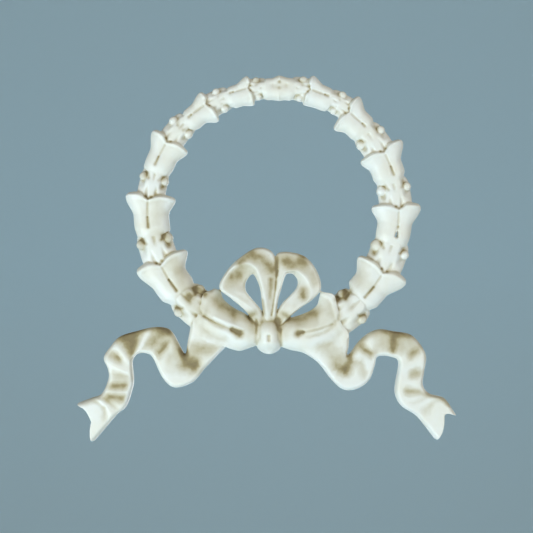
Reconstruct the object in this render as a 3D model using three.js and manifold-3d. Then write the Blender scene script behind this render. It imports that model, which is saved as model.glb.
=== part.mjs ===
// A cast wreath and bow onlay: a ring of bellflower husks that climbs both sides from a ribbon bow and meets
// at the top, with two waving ribbon tails. It is one casting with a flat back, made to be glued to a panel.
// Millimetres. X is to the right, Z is up, the flat back lies in the plane Y = 0 and the relief faces -Y.
// The origin is on the back, behind the middle of the bow's knot.
import * as THREE from "three";
import { mergeVertices } from "three/addons/utils/BufferGeometryUtils.js";
import Module from "manifold-3d";

const wasm = await Module();
wasm.setup();

// Ring: where the garland runs, and where it meets the husks beside the knot
const RING_RADIUS = 61.5; // centre line of the husks
const RING_SIDE = 2.95; // how far the ring's middle is right of the knot
const RING_LEAN = 2.2; // degrees that the ring's own axis leans to the right
const JOIN_HALF = 33.5; // from the ring's middle out to where it meets the bow
const JOIN_HEIGHT = 11.5; // how high above the origin it does

// Husks, from the bow up to the top. mouth and root are degrees from the ring's top, tube and lips are half
// widths, crown is the height of the relief, slot is the length of the pocket where the two petals part.
const HUSKS = [
  { mouth: 115.5, root: 136.3, tube: 9.6, lips: 13.9, crown: 7.6, slot: 5.0 },
  { mouth: 85.2, root: 104.0, tube: 8.8, lips: 12.4, crown: 7.3, slot: 4.0 },
  { mouth: 58.0, root: 74.8, tube: 7.7, lips: 11.0, crown: 6.8, slot: 3.5 },
  { mouth: 33.5, root: 48.0, tube: 6.7, lips: 9.3, crown: 6.2, slot: 2.0 },
  { mouth: 13.2, root: 25.8, tube: 5.8, lips: 7.5, crown: 5.6, slot: 1.6 },
  { mouth: -0.4, root: 7.8, tube: 5.3, lips: 6.1, crown: 5.2, slot: 0 },
];
// How far each husk sits outside (+) or inside (-) the centre line, since the garland was carved by hand
const DRIFT_LEFT = [0.9, 0.3, 1.0, 0.4, -0.6, 0.3];
const DRIFT_RIGHT = [-0.3, -0.9, -1.1, -1.1, 0.0, 0.4];

// The form of every husk. Places along it are shares of its length from root to mouth, places across it are
// shares of its half width.
const ROOT_SHARE = 0.84; // half width at the root, as a share of the tube
const ROOT_END = 0.25; // where the root has widened to the tube
const ROOT_LOW = 0.78; // height at the root, as a share of the crown
const ROOT_CORNER = 0.05; // how much the root's corners are rounded off
const FLARE_START = 0.5; // where the lips begin to open
const FLARE_END = 0.93; // where they are fully open
const FLARE_CURVE = 1.7; // above 1, so that they open late
const RIM_RISE = 0.1; // how much higher the rim stands, as a share of the crown
const NOTCH_SHARE = 0.05; // how far the mouth dips between the petals
const NOTCH_HALF = 0.16;
const LOBE_SHARE = 0.04; // how far the lips reach ahead beside their tips
const LOBE_START = 0.3;
const TIP_START = 0.86; // where a lip's rounded tip begins
const TIP_SWEEP = 0.13; // how far the tip falls back behind the lip
const GROOVE_PLACE = 0.17; // the petals part a little outside the middle
const GROOVE_HALF = 0.09;
const GROOVE_DEPTH = 1.1;
const GROOVE_START = 0.15;
const SLOT_PLACE = 0.35; // the pocket's middle
const SLOT_HALF = 0.75; // half width of the pocket
const SLOT_DEPTH = 3.0;
const PIERCED = 1; // in this pair of husks the right one's pocket is cast right through
const DOME_EDGE = 0.93; // the rounded section stops here, which leaves an upright wall at the edge
const DOME_FULLNESS = 2.6; // 2 is an ellipse, more is squarer

// Calyx and berries between one husk's mouth and the next one's root
const CALYX_WIDE = 1.02; // half width at the mouth, as a share of the next tube
const CALYX_NARROW = 0.72; // at the root
const CALYX_CROWN = 0.74; // height, as a share of the next husk's crown
const CALYX_TUCK = 1.8; // how far it runs under its neighbours
const BERRY_SHARE = 0.26; // radius, as a share of the next tube
const BERRY_PLACES = [-0.72, 0.82]; // inner and outer berry, from the centre line, as shares of the next tube
const BERRY_BACK = 2.7; // distance behind the root
const BERRY_SEAT = 0.42; // height of the berry's middle, as a share of the crown

// Bow
const KNOT_TOP = 9.4;
const KNOT_BOTTOM = -8.5;
const KNOT_HALF = 6.4; // half width
const KNOT_NECK = 0.88; // half width at the top, as a share of the largest
const KNOT_ROUND = 0.34; // share of the height that the round bottom takes
const KNOT_SIDE = 0.25; // how far the knot's middle is right of the origin
const KNOT_CROWN = 11.0;
const KNOT_ENDS = 0.8; // height at its top end, as a share of the crown
const DIMPLE = { x: 0.5, z: -0.6, half: 0.9, length: 3.6, depth: 1.2 };
const LOOP_CROWN = 10.2; // at the ridge of each loop
const LOOP_EDGE = 5.6; // at the hole
const LOOP_OUTER_EDGE = 6.3; // at the outer edge
const LOOP_RIDGE = -0.35; // where the ridge runs, -1 at the hole and 1 at the outer edge
const LOOP_END_LOW = 0.9; // height where it enters the knot, as a share of the crown
const BOW_HUSK_CROWN = 9.0;
const TAIL_CROWN = 6.6;
const TAIL_EDGE = 3.4;
const FOLD_DIP = 1.5; // depth of the waves across the tails
const BEVEL_SHARE = 0.42; // width of the tail's sloping border, as a share of its half width

// Each loop is a strip between the hole's edge and the outer edge. A rung is [hole x, hole z, outer x, outer z],
// and the rungs run from the knot round the loop and back.
const LEFT_LOOP = [
  [-1.8, 6.0, 1.6, 6.0],
  [-2.4, 10.5, 1.6, 10.5],
  [-3.3, 16.5, 1.9, 17.0],
  [-4.1, 23.5, 2.4, 25.0],
  [-5.6, 28.0, 3.4, 36.0],
  [-7.4, 31.2, 1.3, 43.0],
  [-9.0, 30.8, -5.8, 44.6],
  [-10.4, 29.0, -13.6, 40.2],
  [-11.6, 26.5, -20.2, 34.0],
  [-11.2, 22.8, -24.6, 24.6],
  [-8.8, 19.6, -18.6, 19.2],
  [-6.2, 16.6, -14.2, 15.6],
  [-4.0, 13.2, -9.8, 11.6],
  [-1.8, 7.5, -4.4, 6.0],
];
const RIGHT_LOOP = [
  [3.6, 6.0, -0.4, 6.0],
  [4.2, 12.0, 0.4, 10.5],
  [4.7, 18.0, 1.0, 17.0],
  [6.2, 23.5, 1.8, 25.0],
  [7.5, 28.0, 3.4, 36.0],
  [8.8, 31.2, 4.8, 41.8],
  [10.7, 31.8, 11.2, 42.4],
  [12.8, 31.0, 18.8, 39.8],
  [14.6, 28.0, 24.4, 32.6],
  [13.9, 24.4, 26.0, 24.0],
  [10.8, 20.8, 21.4, 18.3],
  [7.3, 17.3, 16.2, 14.8],
  [4.6, 13.2, 10.6, 9.9],
  [2.4, 7.5, 5.6, 6.0],
];

// The husks beside the knot, as strips from root to mouth between their upper and their lower edge. The
// lower petals run into the ribbon tails.
const LEFT_BOW_HUSK = [
  [-3.6, 8.6, -3.6, -3.4],
  [-8.8, 10.0, -9.2, -5.5],
  [-12.2, 12.0, -14.2, -7.0],
  [-15.8, 13.8, -18.2, -6.3],
  [-19.2, 16.0, -21.8, -4.8],
  [-22.5, 18.8, -27.2, -3.5],
  [-24.8, 21.5, -33.2, -0.5],
  [-28.8, 22.0, -37.8, 4.5],
];
const RIGHT_BOW_HUSK = [
  [4.6, 8.6, 4.6, -4.4],
  [9.8, 9.8, 10.8, -6.5],
  [13.2, 10.2, 15.8, -7.5],
  [17.2, 11.2, 20.2, -8.8],
  [20.8, 12.8, 25.8, -8.0],
  [23.8, 15.0, 31.2, -6.5],
  [25.8, 18.5, 36.2, -4.0],
  [26.8, 21.8, 40.2, 0.0],
];
const LEFT_LOBES = [0.13, 0.06]; // how far the upper and the lower petal reach beyond the last rung
const RIGHT_LOBES = [0.16, 0.03];
const BOW_GROOVE = [0.04, 0.22]; // the groove's place across the husk at root and mouth, -1 upper, 1 lower
const BOW_SLOTS = { left: 0.38, right: 0.33, length: 4.6 }; // the pockets' places along the husks

// Ribbon tails, from under the bow husks to the forked ends. A rung joins the upper edge to the lower edge.
const LEFT_TAIL = [
  [-38.2, 9.5, -17.5, -2.0],
  [-39.2, 4.5, -22.0, -5.6],
  [-40.6, -3.0, -31.6, -15.6],
  [-41.3, -7.8, -37.8, -22.6],
  [-42.4, -8.2, -47.0, -25.4],
  [-44.4, -4.6, -53.0, -20.6],
  [-47.8, 1.6, -58.2, -10.2],
  [-51.4, 4.4, -61.8, -8.2],
  [-58.0, 4.8, -65.2, -8.4],
  [-65.2, 3.1, -67.0, -9.8],
  [-74.4, 0.2, -68.2, -12.0],
  [-79.2, -4.8, -68.2, -14.6],
  [-82.6, -10.4, -67.8, -18.2],
  [-80.6, -15.8, -67.6, -22.0],
  [-80.2, -20.8, -68.2, -26.2],
  [-83.4, -28.2, -71.4, -35.0],
  [-88.6, -30.8, -76.6, -39.6],
  [-96.4, -34.2, -87.8, -51.6],
];
const RIGHT_TAIL = [
  [37.6, 8.0, 12.5, -3.0],
  [40.2, 2.0, 16.6, -7.2],
  [40.2, -4.4, 24.6, -12.8],
  [39.3, -8.8, 32.4, -22.4],
  [40.6, -8.6, 38.4, -26.6],
  [42.2, -6.4, 45.4, -25.6],
  [44.2, -3.6, 50.6, -21.4],
  [47.2, -0.4, 53.2, -14.6],
  [51.2, 2.4, 54.2, -10.4],
  [56.2, 3.8, 57.4, -9.4],
  [62.6, 2.8, 61.4, -10.0],
  [71.0, 1.2, 64.2, -11.0],
  [76.0, -3.6, 65.2, -13.0],
  [79.0, -9.6, 64.8, -17.0],
  [78.0, -17.8, 63.6, -23.4],
  [77.4, -24.0, 63.6, -29.0],
  [80.6, -28.4, 66.6, -34.6],
  [86.8, -31.0, 74.6, -40.2],
  [92.6, -39.0, 83.6, -51.4],
];
// Where the waves across the tails dip, counted in rungs
const LEFT_FOLDS = [1.6, 3.7, 6.4, 8.5, 9.9, 11.5, 13.8, 14.8];
const RIGHT_FOLDS = [2.3, 3.9, 7.5, 10.4, 12.3, 13.8, 15.2];
const FOLD_HALF = 0.38; // half length of a dip, in rungs
const FORK_RUNGS = 1.6; // how many rungs the fork takes
// The fork: [place across the end, -1 upper to 1 lower, x and z from the straight end to its root]
const LEFT_FORK = [0.0, 2.7, 1.1];
const RIGHT_FORK = [-0.3, -2.9, 5.3];

// How finely each strip is divided
const evenly = (count) => Array.from({ length: count + 1 }, (_, i) => i / count);
const HUSK_ROWS = [0, 0.15, 0.5, 0.74, 0.92, 1];
const HUSK_COLUMNS = [-1, -TIP_START, -0.45, 0.05, GROOVE_PLACE, 0.29, 0.62, TIP_START, 1];
const BOW_ROWS = evenly(8);
const BOW_COLUMNS = [-1, -0.75, -0.4, -0.1, 0.12, 0.34, 0.65, 1];
const KNOT_ROWS = [0, 0.2, 0.45, 0.68, 0.82, 0.92, 1];
const CALYX_ROWS = evenly(4);
const CALYX_COLUMNS = [-1, -0.62, 0, 0.62, 1];
const LOOP_ROWS = evenly(21);
const LOOP_COLUMNS = [-1, -0.35, 0.4, 1];
const TAIL_ROWS = evenly(36);
const TAIL_COLUMNS = [-1, -0.6, 0, 0.6, 1];
const BERRY_SIDES = 8;
const BERRY_RINGS = 2;

const radians = THREE.MathUtils.degToRad;
const degrees = THREE.MathUtils.radToDeg;
const step = THREE.MathUtils.smoothstep;
const mix = THREE.MathUtils.lerp;
const bump = (distance, half) => Math.exp(-((distance / half) ** 2));

// Where the ring's own middle lies, and how many degrees from its top it meets the bow
const ringMiddle = [RING_SIDE, JOIN_HEIGHT + Math.sqrt(RING_RADIUS ** 2 - JOIN_HALF ** 2)];
const joinAngle = 180 - degrees(Math.asin(JOIN_HALF / RING_RADIUS));

// A strip of relief as a closed solid: its front follows place(u, t) and height(u, t), its back is flat.
function reliefStrip(rows, columns, place, height) {
  const across = columns.length;
  const points = [];
  for (const u of rows) {
    for (const t of columns) {
      const [x, z] = place(u, t);
      points.push([x, -height(u, t), z]);
    }
  }
  const count = points.length;
  for (let i = 0; i < count; i++) points.push([points[i][0], 0, points[i][2]]);
  const faces = [];
  const quad = (a, b, c, d) => faces.push(a, b, c, a, c, d);
  for (let i = 0; i + 1 < rows.length; i++) {
    for (let j = 0; j + 1 < across; j++) {
      const a = i * across + j;
      quad(a, a + 1, a + across + 1, a + across);
      quad(count + a, count + a + across, count + a + across + 1, count + a + 1);
    }
    const left = i * across;
    const right = left + across - 1;
    quad(left, left + across, count + left + across, count + left);
    quad(right, count + right, count + right + across, right + across);
  }
  for (let j = 0; j + 1 < across; j++) {
    const top = (rows.length - 1) * across + j;
    quad(j, count + j, count + j + 1, j + 1);
    quad(top, top + 1, count + top + 1, count + top);
  }
  return closedGeometry(points, faces);
}

// A geometry whose faces point out, whichever way round the strip was laid
function closedGeometry(points, faces) {
  let volume = 0;
  for (let i = 0; i < faces.length; i += 3) {
    const [a, b, c] = [faces[i], faces[i + 1], faces[i + 2]].map((k) => new THREE.Vector3(...points[k]));
    volume += a.dot(b.cross(c));
  }
  if (volume < 0) faces.reverse();
  const geometry = new THREE.BufferGeometry();
  geometry.setAttribute("position", new THREE.Float32BufferAttribute(points.flat(), 3));
  geometry.setIndex(faces);
  return geometry;
}

function solidOf(geometry) {
  const bare = geometry.clone().deleteAttribute("normal").deleteAttribute("uv");
  const merged = mergeVertices(bare, 1e-4);
  return new wasm.Manifold(
    new wasm.Mesh({
      numProp: 3,
      vertProperties: merged.attributes.position.array,
      triVerts: new Uint32Array(merged.index.array),
    }),
  );
}

// Places a point by its angle from the ring's own top, its side (-1 left, 1 right) and its distance outwards
function onRing(angle, side, out) {
  const turn = radians(RING_LEAN + side * angle);
  const reach = RING_RADIUS + out;
  return [ringMiddle[0] + reach * Math.sin(turn), ringMiddle[1] + reach * Math.cos(turn)];
}

const arcDegrees = (length) => degrees(length / RING_RADIUS);

// The rounded section that husks, calyxes and the knot share, 1 in the middle and lower at the edges
const dome = (t) => Math.sqrt(1 - Math.pow(DOME_EDGE * Math.abs(t), DOME_FULLNESS));

// Share of the way from tube to lips
function flare(u) {
  const opened = THREE.MathUtils.clamp((u - FLARE_START) / (FLARE_END - FLARE_START), 0, 1);
  return Math.pow(opened, FLARE_CURVE);
}

// Moves the ends of a husk: the root's corners round off, the mouth dips at the groove and at its tips
function endShift(u, t, groove) {
  const notch = NOTCH_SHARE * bump(t - groove, NOTCH_HALF);
  const lobe = LOBE_SHARE * step(Math.abs(t), LOBE_START, TIP_START);
  const sweep = TIP_SWEEP * step(Math.abs(t), TIP_START, 1);
  const corner = ROOT_CORNER * step(Math.abs(t), 0.5, 1);
  return corner * (1 - u) ** 3 + (lobe - notch - sweep) * u ** 4;
}

function huskHeight(crown, u, t, groove) {
  const shoulder = mix(ROOT_LOW, 1, step(u, 0, ROOT_END));
  const rim = 1 + RIM_RISE * flare(u);
  const cut = GROOVE_DEPTH * bump(t - groove, GROOVE_HALF) * step(u, GROOVE_START, 2 * GROOVE_START);
  return crown * shoulder * rim * dome(t) - cut;
}

function ringHusk(husk, side, drift) {
  const place = (u, t) => {
    const angle = mix(husk.root, husk.mouth, u + endShift(u, t, GROOVE_PLACE));
    const root = mix(ROOT_SHARE, 1, step(u, 0, ROOT_END));
    const half = husk.tube * root + (husk.lips - husk.tube) * flare(u);
    return onRing(angle, side, drift + half * t);
  };
  const height = (u, t) => huskHeight(husk.crown, u, t, GROOVE_PLACE);
  return solidOf(reliefStrip(HUSK_ROWS, HUSK_COLUMNS, place, height));
}

// A pocket with round ends, as long as asked along a direction in the XZ plane, cut this deep below the top
function pocket(centre, along, { length, half, top, depth }) {
  const run = Math.max(half / 10, length / 2 - half);
  const outline = new THREE.Shape();
  outline.absarc(run, 0, half, -Math.PI / 2, Math.PI / 2, false);
  outline.absarc(-run, 0, half, Math.PI / 2, (3 * Math.PI) / 2, false);
  const settings = { depth: 2 * depth, bevelEnabled: false, curveSegments: 4 };
  const cutter = new THREE.ExtrudeGeometry(outline, settings);
  cutter.rotateX(Math.PI / 2); // the outline now lies in the XZ plane and the depth runs towards -Y
  cutter.rotateY(-Math.atan2(along[1], along[0]));
  cutter.translate(centre[0], depth - top, centre[1]);
  return solidOf(cutter);
}

function ringSlot(husk, side, drift, pierced) {
  const middle = mix(husk.root, husk.mouth, SLOT_PLACE);
  const centre = onRing(middle, side, drift + GROOVE_PLACE * husk.tube);
  const ahead = onRing(middle - 1, side, drift + GROOVE_PLACE * husk.tube);
  const along = [ahead[0] - centre[0], ahead[1] - centre[1]];
  const depth = pierced ? 2 * husk.crown : SLOT_DEPTH;
  return pocket(centre, along, { length: husk.slot, half: SLOT_HALF, top: husk.crown, depth });
}

function calyx(husk, mouthBelow, side, drift) {
  const wideEnd = mouthBelow + arcDegrees(CALYX_TUCK);
  const narrowEnd = husk.root - arcDegrees(CALYX_TUCK);
  const place = (u, t) => {
    const half = husk.tube * mix(CALYX_WIDE, CALYX_NARROW, step(u, 0.3, 0.8));
    return onRing(mix(wideEnd, narrowEnd, u), side, drift + half * t);
  };
  return solidOf(reliefStrip(CALYX_ROWS, CALYX_COLUMNS, place, (u, t) => husk.crown * CALYX_CROWN * dome(t)));
}

function berry(husk, side, drift, place) {
  const radius = husk.tube * BERRY_SHARE;
  const seat = husk.crown * BERRY_SEAT;
  const profile = [new THREE.Vector2(0, 0), new THREE.Vector2(radius, 0)];
  for (let k = 0; k <= BERRY_RINGS; k++) {
    const turn = (Math.PI / 2) * (k / BERRY_RINGS);
    const ring = k === BERRY_RINGS ? 0 : radius * Math.cos(turn);
    profile.push(new THREE.Vector2(ring, -seat - radius * Math.sin(turn)));
  }
  const post = new THREE.LatheGeometry(profile.reverse(), BERRY_SIDES);
  const [x, z] = onRing(husk.root + arcDegrees(BERRY_BACK), side, drift + place * husk.tube);
  post.translate(x, 0, z);
  return solidOf(post);
}

// Smooth curves through the two ends of a strip's rungs
function edgesOf(rungs) {
  const curve = (k) => {
    const through = rungs.map((r) => new THREE.Vector3(r[k], 0, r[k + 1]));
    return new THREE.CatmullRomCurve3(through, false, "catmullrom", 0.5);
  };
  return [curve(0), curve(2)];
}

// A strip between two edges, with t = -1 on the first and t = 1 on the second
function betweenEdges(rungs, shift = () => [0, 0]) {
  const [first, second] = edgesOf(rungs);
  return (u, t) => {
    const a = first.getPoint(u);
    const b = second.getPoint(u);
    const [dx, dz] = shift(u, t);
    return [mix(a.x, b.x, (t + 1) / 2) + dx, mix(a.z, b.z, (t + 1) / 2) + dz];
  };
}

// A husk beside the knot and the pocket in its groove
function bowHusk(rungs, lobes, slotAt) {
  const [mouth] = rungs.slice(-1);
  const [beforeMouth] = rungs.slice(-3);
  const ahead = [0, 1].map((k) => (mouth[k] + mouth[k + 2] - beforeMouth[k] - beforeMouth[k + 2]) / 2);
  const width = Math.hypot(mouth[2] - mouth[0], mouth[3] - mouth[1]);
  const scale = width / Math.hypot(...ahead);
  const grooveAt = (u) => mix(BOW_GROOVE[0], BOW_GROOVE[1], u);
  const shift = (u, t) => {
    const groove = grooveAt(u);
    const across = t < groove ? (t + 1) / (groove + 1) : (t - groove) / (1 - groove);
    const lobe = (t < groove ? lobes[0] : lobes[1]) * Math.sin(Math.PI * across) * Math.pow(u, 5);
    return [ahead[0] * scale * lobe, ahead[1] * scale * lobe];
  };
  const place = betweenEdges(rungs, shift);
  const height = (u, t) => huskHeight(BOW_HUSK_CROWN, u, t, grooveAt(u));
  const body = solidOf(reliefStrip(BOW_ROWS, BOW_COLUMNS, place, height));
  const [from, to] = [slotAt, slotAt + 0.1].map((u) => place(u, grooveAt(u)));
  const size = { length: BOW_SLOTS.length, half: SLOT_HALF, top: BOW_HUSK_CROWN, depth: SLOT_DEPTH };
  return { body, slot: pocket(from, [to[0] - from[0], to[1] - from[1]], size) };
}

function loop(rungs) {
  const height = (u, t) => {
    const entered = Math.min(step(u, 0, 0.12), step(1 - u, 0, 0.12));
    const crown = LOOP_CROWN * mix(LOOP_END_LOW, 1, entered);
    const inside = t < LOOP_RIDGE;
    const away = inside ? (LOOP_RIDGE - t) / (1 + LOOP_RIDGE) : (t - LOOP_RIDGE) / (1 - LOOP_RIDGE);
    return mix(crown, inside ? LOOP_EDGE : LOOP_OUTER_EDGE, away * away);
  };
  return solidOf(reliefStrip(LOOP_ROWS, LOOP_COLUMNS, betweenEdges(rungs), height));
}

function tail(rungs, folds, fork) {
  const [place, ...root] = fork;
  const last = rungs.length - 1;
  const shift = (u, t) => {
    const away = t < place ? (place - t) / (1 + place) : (t - place) / (1 - place);
    const share = Math.pow(1 - away, 1.3) * step(u * last, last - FORK_RUNGS, last);
    return root.map((distance) => distance * share);
  };
  const height = (u, t) => {
    const dip = folds.reduce((sum, at) => sum + bump(u * last - at, FOLD_HALF), 0);
    const top = TAIL_CROWN - FOLD_DIP * Math.min(1, dip);
    return mix(TAIL_EDGE, top, step(1 - Math.abs(t), 0, BEVEL_SHARE));
  };
  return solidOf(reliefStrip(TAIL_ROWS, TAIL_COLUMNS, betweenEdges(rungs, shift), height));
}

// The knot is a rounded block with a round bottom
function knot() {
  const place = (u, t) => {
    const belly = mix(KNOT_NECK, 1, step(u, 0, 0.5));
    const round = Math.max(0, (u - 1 + KNOT_ROUND) / (1.03 * KNOT_ROUND));
    return [KNOT_SIDE + KNOT_HALF * belly * Math.sqrt(1 - round ** 2) * t, mix(KNOT_TOP, KNOT_BOTTOM, u)];
  };
  const height = (u, t) => {
    const rise = mix(KNOT_ENDS, 1, Math.sin(Math.PI * Math.min(1, u * 1.1)));
    return KNOT_CROWN * rise * dome(t) * (1 - 0.45 * u ** 5);
  };
  return solidOf(reliefStrip(KNOT_ROWS, CALYX_COLUMNS, place, height));
}

function onlay() {
  const parts = [];
  const pockets = [];
  for (const side of [-1, 1]) {
    const drifts = side < 0 ? DRIFT_LEFT : DRIFT_RIGHT;
    HUSKS.forEach((husk, i) => {
      const below = i === 0 ? joinAngle : HUSKS[i - 1].mouth;
      parts.push(ringHusk(husk, side, drifts[i]));
      parts.push(calyx(husk, below, side, drifts[i]));
      for (const place of BERRY_PLACES) parts.push(berry(husk, side, drifts[i], place));
      if (husk.slot > 0) pockets.push(ringSlot(husk, side, drifts[i], side > 0 && i === PIERCED));
    });
  }
  const leftHusk = bowHusk(LEFT_BOW_HUSK, LEFT_LOBES, BOW_SLOTS.left);
  const rightHusk = bowHusk(RIGHT_BOW_HUSK, RIGHT_LOBES, BOW_SLOTS.right);
  parts.push(leftHusk.body, rightHusk.body);
  parts.push(tail(LEFT_TAIL, LEFT_FOLDS, LEFT_FORK), tail(RIGHT_TAIL, RIGHT_FOLDS, RIGHT_FORK));
  parts.push(loop(LEFT_LOOP), loop(RIGHT_LOOP), knot());
  const dimple = { ...DIMPLE, top: KNOT_CROWN };
  pockets.push(leftHusk.slot, rightHusk.slot, pocket([DIMPLE.x, DIMPLE.z], [0, 1], dimple));
  const whole = parts.reduce((sum, part) => sum.add(part));
  return pockets.reduce((rest, cut) => rest.subtract(cut), whole);
}

function meshOf(name, solid, material) {
  const made = solid.getMesh();
  const geometry = new THREE.BufferGeometry();
  geometry.setAttribute("position", new THREE.BufferAttribute(made.vertProperties, 3));
  geometry.setIndex(new THREE.BufferAttribute(made.triVerts, 1));
  geometry.computeVertexNormals();
  const mesh = new THREE.Mesh(geometry, material);
  mesh.name = name;
  return mesh;
}

const ivoryResin = new THREE.MeshStandardMaterial({ color: 0xe9e6d8, roughness: 0.55, metalness: 0 });

const group = new THREE.Group();
group.add(meshOf("wreath_and_bow", onlay(), ivoryResin));

export default group;
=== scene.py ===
# %% [markdown]
# # A cast wreath and bow onlay
# This ornament is a flat-backed casting in resin, glued to a drawer front, a mirror frame or a wall. A ring
# of bellflower husks climbs both sides from a ribbon bow and meets at the top, and two ribbon tails wave
# below. It is white with a thin tan wash that was wiped off the high places and stayed in the hollows.
#
# It could be sculpted by hand, or cut from a height picture. Here it is made as a carver's plaster model is:
# each petal, berry and ribbon is first shaped on its own, then all are fused into one body, and the fine
# grooves and pits are pressed in last. That keeps every form under a few measured sizes.

# %% Start from the measured model
import math

import bmesh
import bpy
import numpy as np
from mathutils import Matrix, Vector, noise
from mathutils.kdtree import KDTree


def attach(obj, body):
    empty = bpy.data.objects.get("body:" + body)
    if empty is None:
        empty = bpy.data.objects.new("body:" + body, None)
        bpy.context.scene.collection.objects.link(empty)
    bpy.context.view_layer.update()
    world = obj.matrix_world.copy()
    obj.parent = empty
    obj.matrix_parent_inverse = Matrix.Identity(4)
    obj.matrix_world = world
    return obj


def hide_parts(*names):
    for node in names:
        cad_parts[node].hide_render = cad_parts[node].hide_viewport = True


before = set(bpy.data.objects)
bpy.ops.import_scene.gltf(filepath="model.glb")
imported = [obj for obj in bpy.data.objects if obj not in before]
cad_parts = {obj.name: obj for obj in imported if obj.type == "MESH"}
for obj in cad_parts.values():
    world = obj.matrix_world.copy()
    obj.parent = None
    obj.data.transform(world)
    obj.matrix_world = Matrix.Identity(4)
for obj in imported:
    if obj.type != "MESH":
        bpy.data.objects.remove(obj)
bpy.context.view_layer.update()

MM = 0.001  # the forms below are given in millimetres, and Blender's scene is in metres

# %% [markdown]
# ## The camera
# The ornament is seen square from the front, with so little perspective that its two sides show alike. A
# parallel view could be used, but a long lens from far away looks more like a real camera's. The photograph
# shows half a millimetre of the ornament in each of its pixels, so the distance follows from the lens.

# %% Place the camera
PHOTO_SIDE = 533  # pixels
MM_PER_PIXEL = 0.5
KNOT_PIXEL = (268.5, 337.0)  # where the origin, behind the knot, is seen
LENS = 110.0
RELIEF_MIDDLE = 5.0  # the depth that is seen at exactly this scale

camera = bpy.data.objects.new("camera", bpy.data.cameras.new("camera"))
bpy.context.scene.collection.objects.link(camera)
camera.data.lens = LENS
view_side = PHOTO_SIDE * MM_PER_PIXEL
distance = view_side * LENS / camera.data.sensor_width
camera.location = (
    (PHOTO_SIDE / 2 - KNOT_PIXEL[0]) * MM_PER_PIXEL * MM,
    -(distance + RELIEF_MIDDLE) * MM,
    (KNOT_PIXEL[1] - PHOTO_SIDE / 2) * MM_PER_PIXEL * MM,
)
camera.rotation_euler = (math.radians(90), 0, 0)
bpy.context.scene.camera = camera
print("camera stands", round(distance), "mm in front")

# %% [markdown]
# ## Shaping one piece of relief
# A petal, a ribbon or a knot is a low form on a flat ground, so it can be told by two things: where each of
# its points lies on the ground, and how high it stands there. It could be pushed up out of a fine flat grid
# by hand. Here formulas do it, because the same few curves then shape every petal and can be changed later.

# %% The curves that all forms share
def mix(a, b, share):
    return a + (b - a) * share


def step(value, low, high):
    """A soft step from 0 to 1."""
    share = np.clip((value - low) / (high - low), 0.0, 1.0)
    return share * share * (3.0 - 2.0 * share)


def bump(offset, half):
    """A soft hill that is 1 in its middle."""
    return np.exp(-((offset / half) ** 2))


print("a soft step has climbed to", round(float(step(0.25, 0, 1)), 2), "at a quarter of its way")

# %% The rounded section of a piece
DOME_EDGE = 0.93  # the rounded section stops here, which leaves an upright side
DOME_FULLNESS = 2.6  # 2 is an ellipse, more is squarer


def dome(t):
    return np.sqrt(1.0 - (DOME_EDGE * np.abs(t)) ** DOME_FULLNESS)


def round_over(gap, radius):
    """What a rounded edge takes off, from 0 at a radius away from the edge to 1 on it."""
    inside = np.clip(gap / radius, 0, 1)
    return 1 - np.sqrt(1 - (1 - inside) ** 2)


print("a rounded piece keeps", round(float(dome(1.0)), 2), "of its height at its sides")

# %% [markdown]
# ## One solid lump
# A piece's front is a grid of points, u along it and t across it. It could be left as an open sheet, but
# sheets can't be fused cleanly. So the grid gets a copy a little behind the ornament's back and a wall round
# the rim, which makes every piece a closed lump of its own.

# %% Make a lump
BASE_BEHIND = 1.6  # how far the lumps run behind the back before it is cut flat
lumps = []


def lump(grid_size, place, height, stain=None):
    """A closed solid over the grid u (0 to 1, along) by t (-1 to 1, across), with its own wash."""
    rows, columns = grid_size
    u, t = np.meshgrid(np.linspace(0, 1, rows + 1), np.linspace(-1, 1, columns + 1), indexing="ij")
    x, z = place(u, t)
    front = np.stack([x, -height(u, t), z], axis=-1).reshape(-1, 3)
    back = front.copy()
    back[:, 1] = BASE_BEHIND
    grid = np.arange(len(front)).reshape(u.shape)
    quads = np.stack([grid[:-1, :-1], grid[1:, :-1], grid[1:, 1:], grid[:-1, 1:]], axis=-1).reshape(-1, 4)
    rim = np.concatenate([grid[:-1, 0], grid[-1, :-1], grid[:0:-1, -1], grid[0, :0:-1]])
    ahead = np.roll(rim, -1)
    sides = np.stack([rim, rim + len(front), ahead + len(front), ahead], axis=-1)
    faces = np.concatenate([quads, quads[:, ::-1] + len(front), sides])
    washed = np.zeros(len(front)) if stain is None else (stain(u, t) + 0 * u).ravel()
    lumps.append((np.concatenate([front, back]), faces, front, washed))


print("lumps will reach", BASE_BEHIND, "mm behind the back")

# %% [markdown]
# ## Where the ring runs
# The garland lies on a circle that leans a little to the right. Its pieces could be placed by eye, one by
# one. Placing them by an angle from the ring's top and a distance from its middle keeps them on one circle,
# and one function then serves both sides.

# %% Where the ring runs
RING_RADIUS = 61.5
RING_MIDDLE = (2.95, 63.08)
RING_LEAN = 2.2  # degrees that the ring's own axis leans to the right


def on_ring(angle, side, reach):
    """The place at an angle from the ring's own top, on the left (-1) or right (1)."""
    turn = np.radians(RING_LEAN + side * angle)
    return RING_MIDDLE[0] + reach * np.sin(turn), RING_MIDDLE[1] + reach * np.cos(turn)


print("the ring is", round(2 * RING_RADIUS), "mm across, between its middle lines")

# %% [markdown]
# ## The ring of husks
# Each bellflower husk is a short tube that flares into two pointed lips. The lips part at a groove, which
# starts in a small deep pocket. One husk could be made and copied, but the garland was carved by hand and no
# two sit quite alike. So each side of each husk has its own width at the root, at the belly and at the lips.

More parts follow.
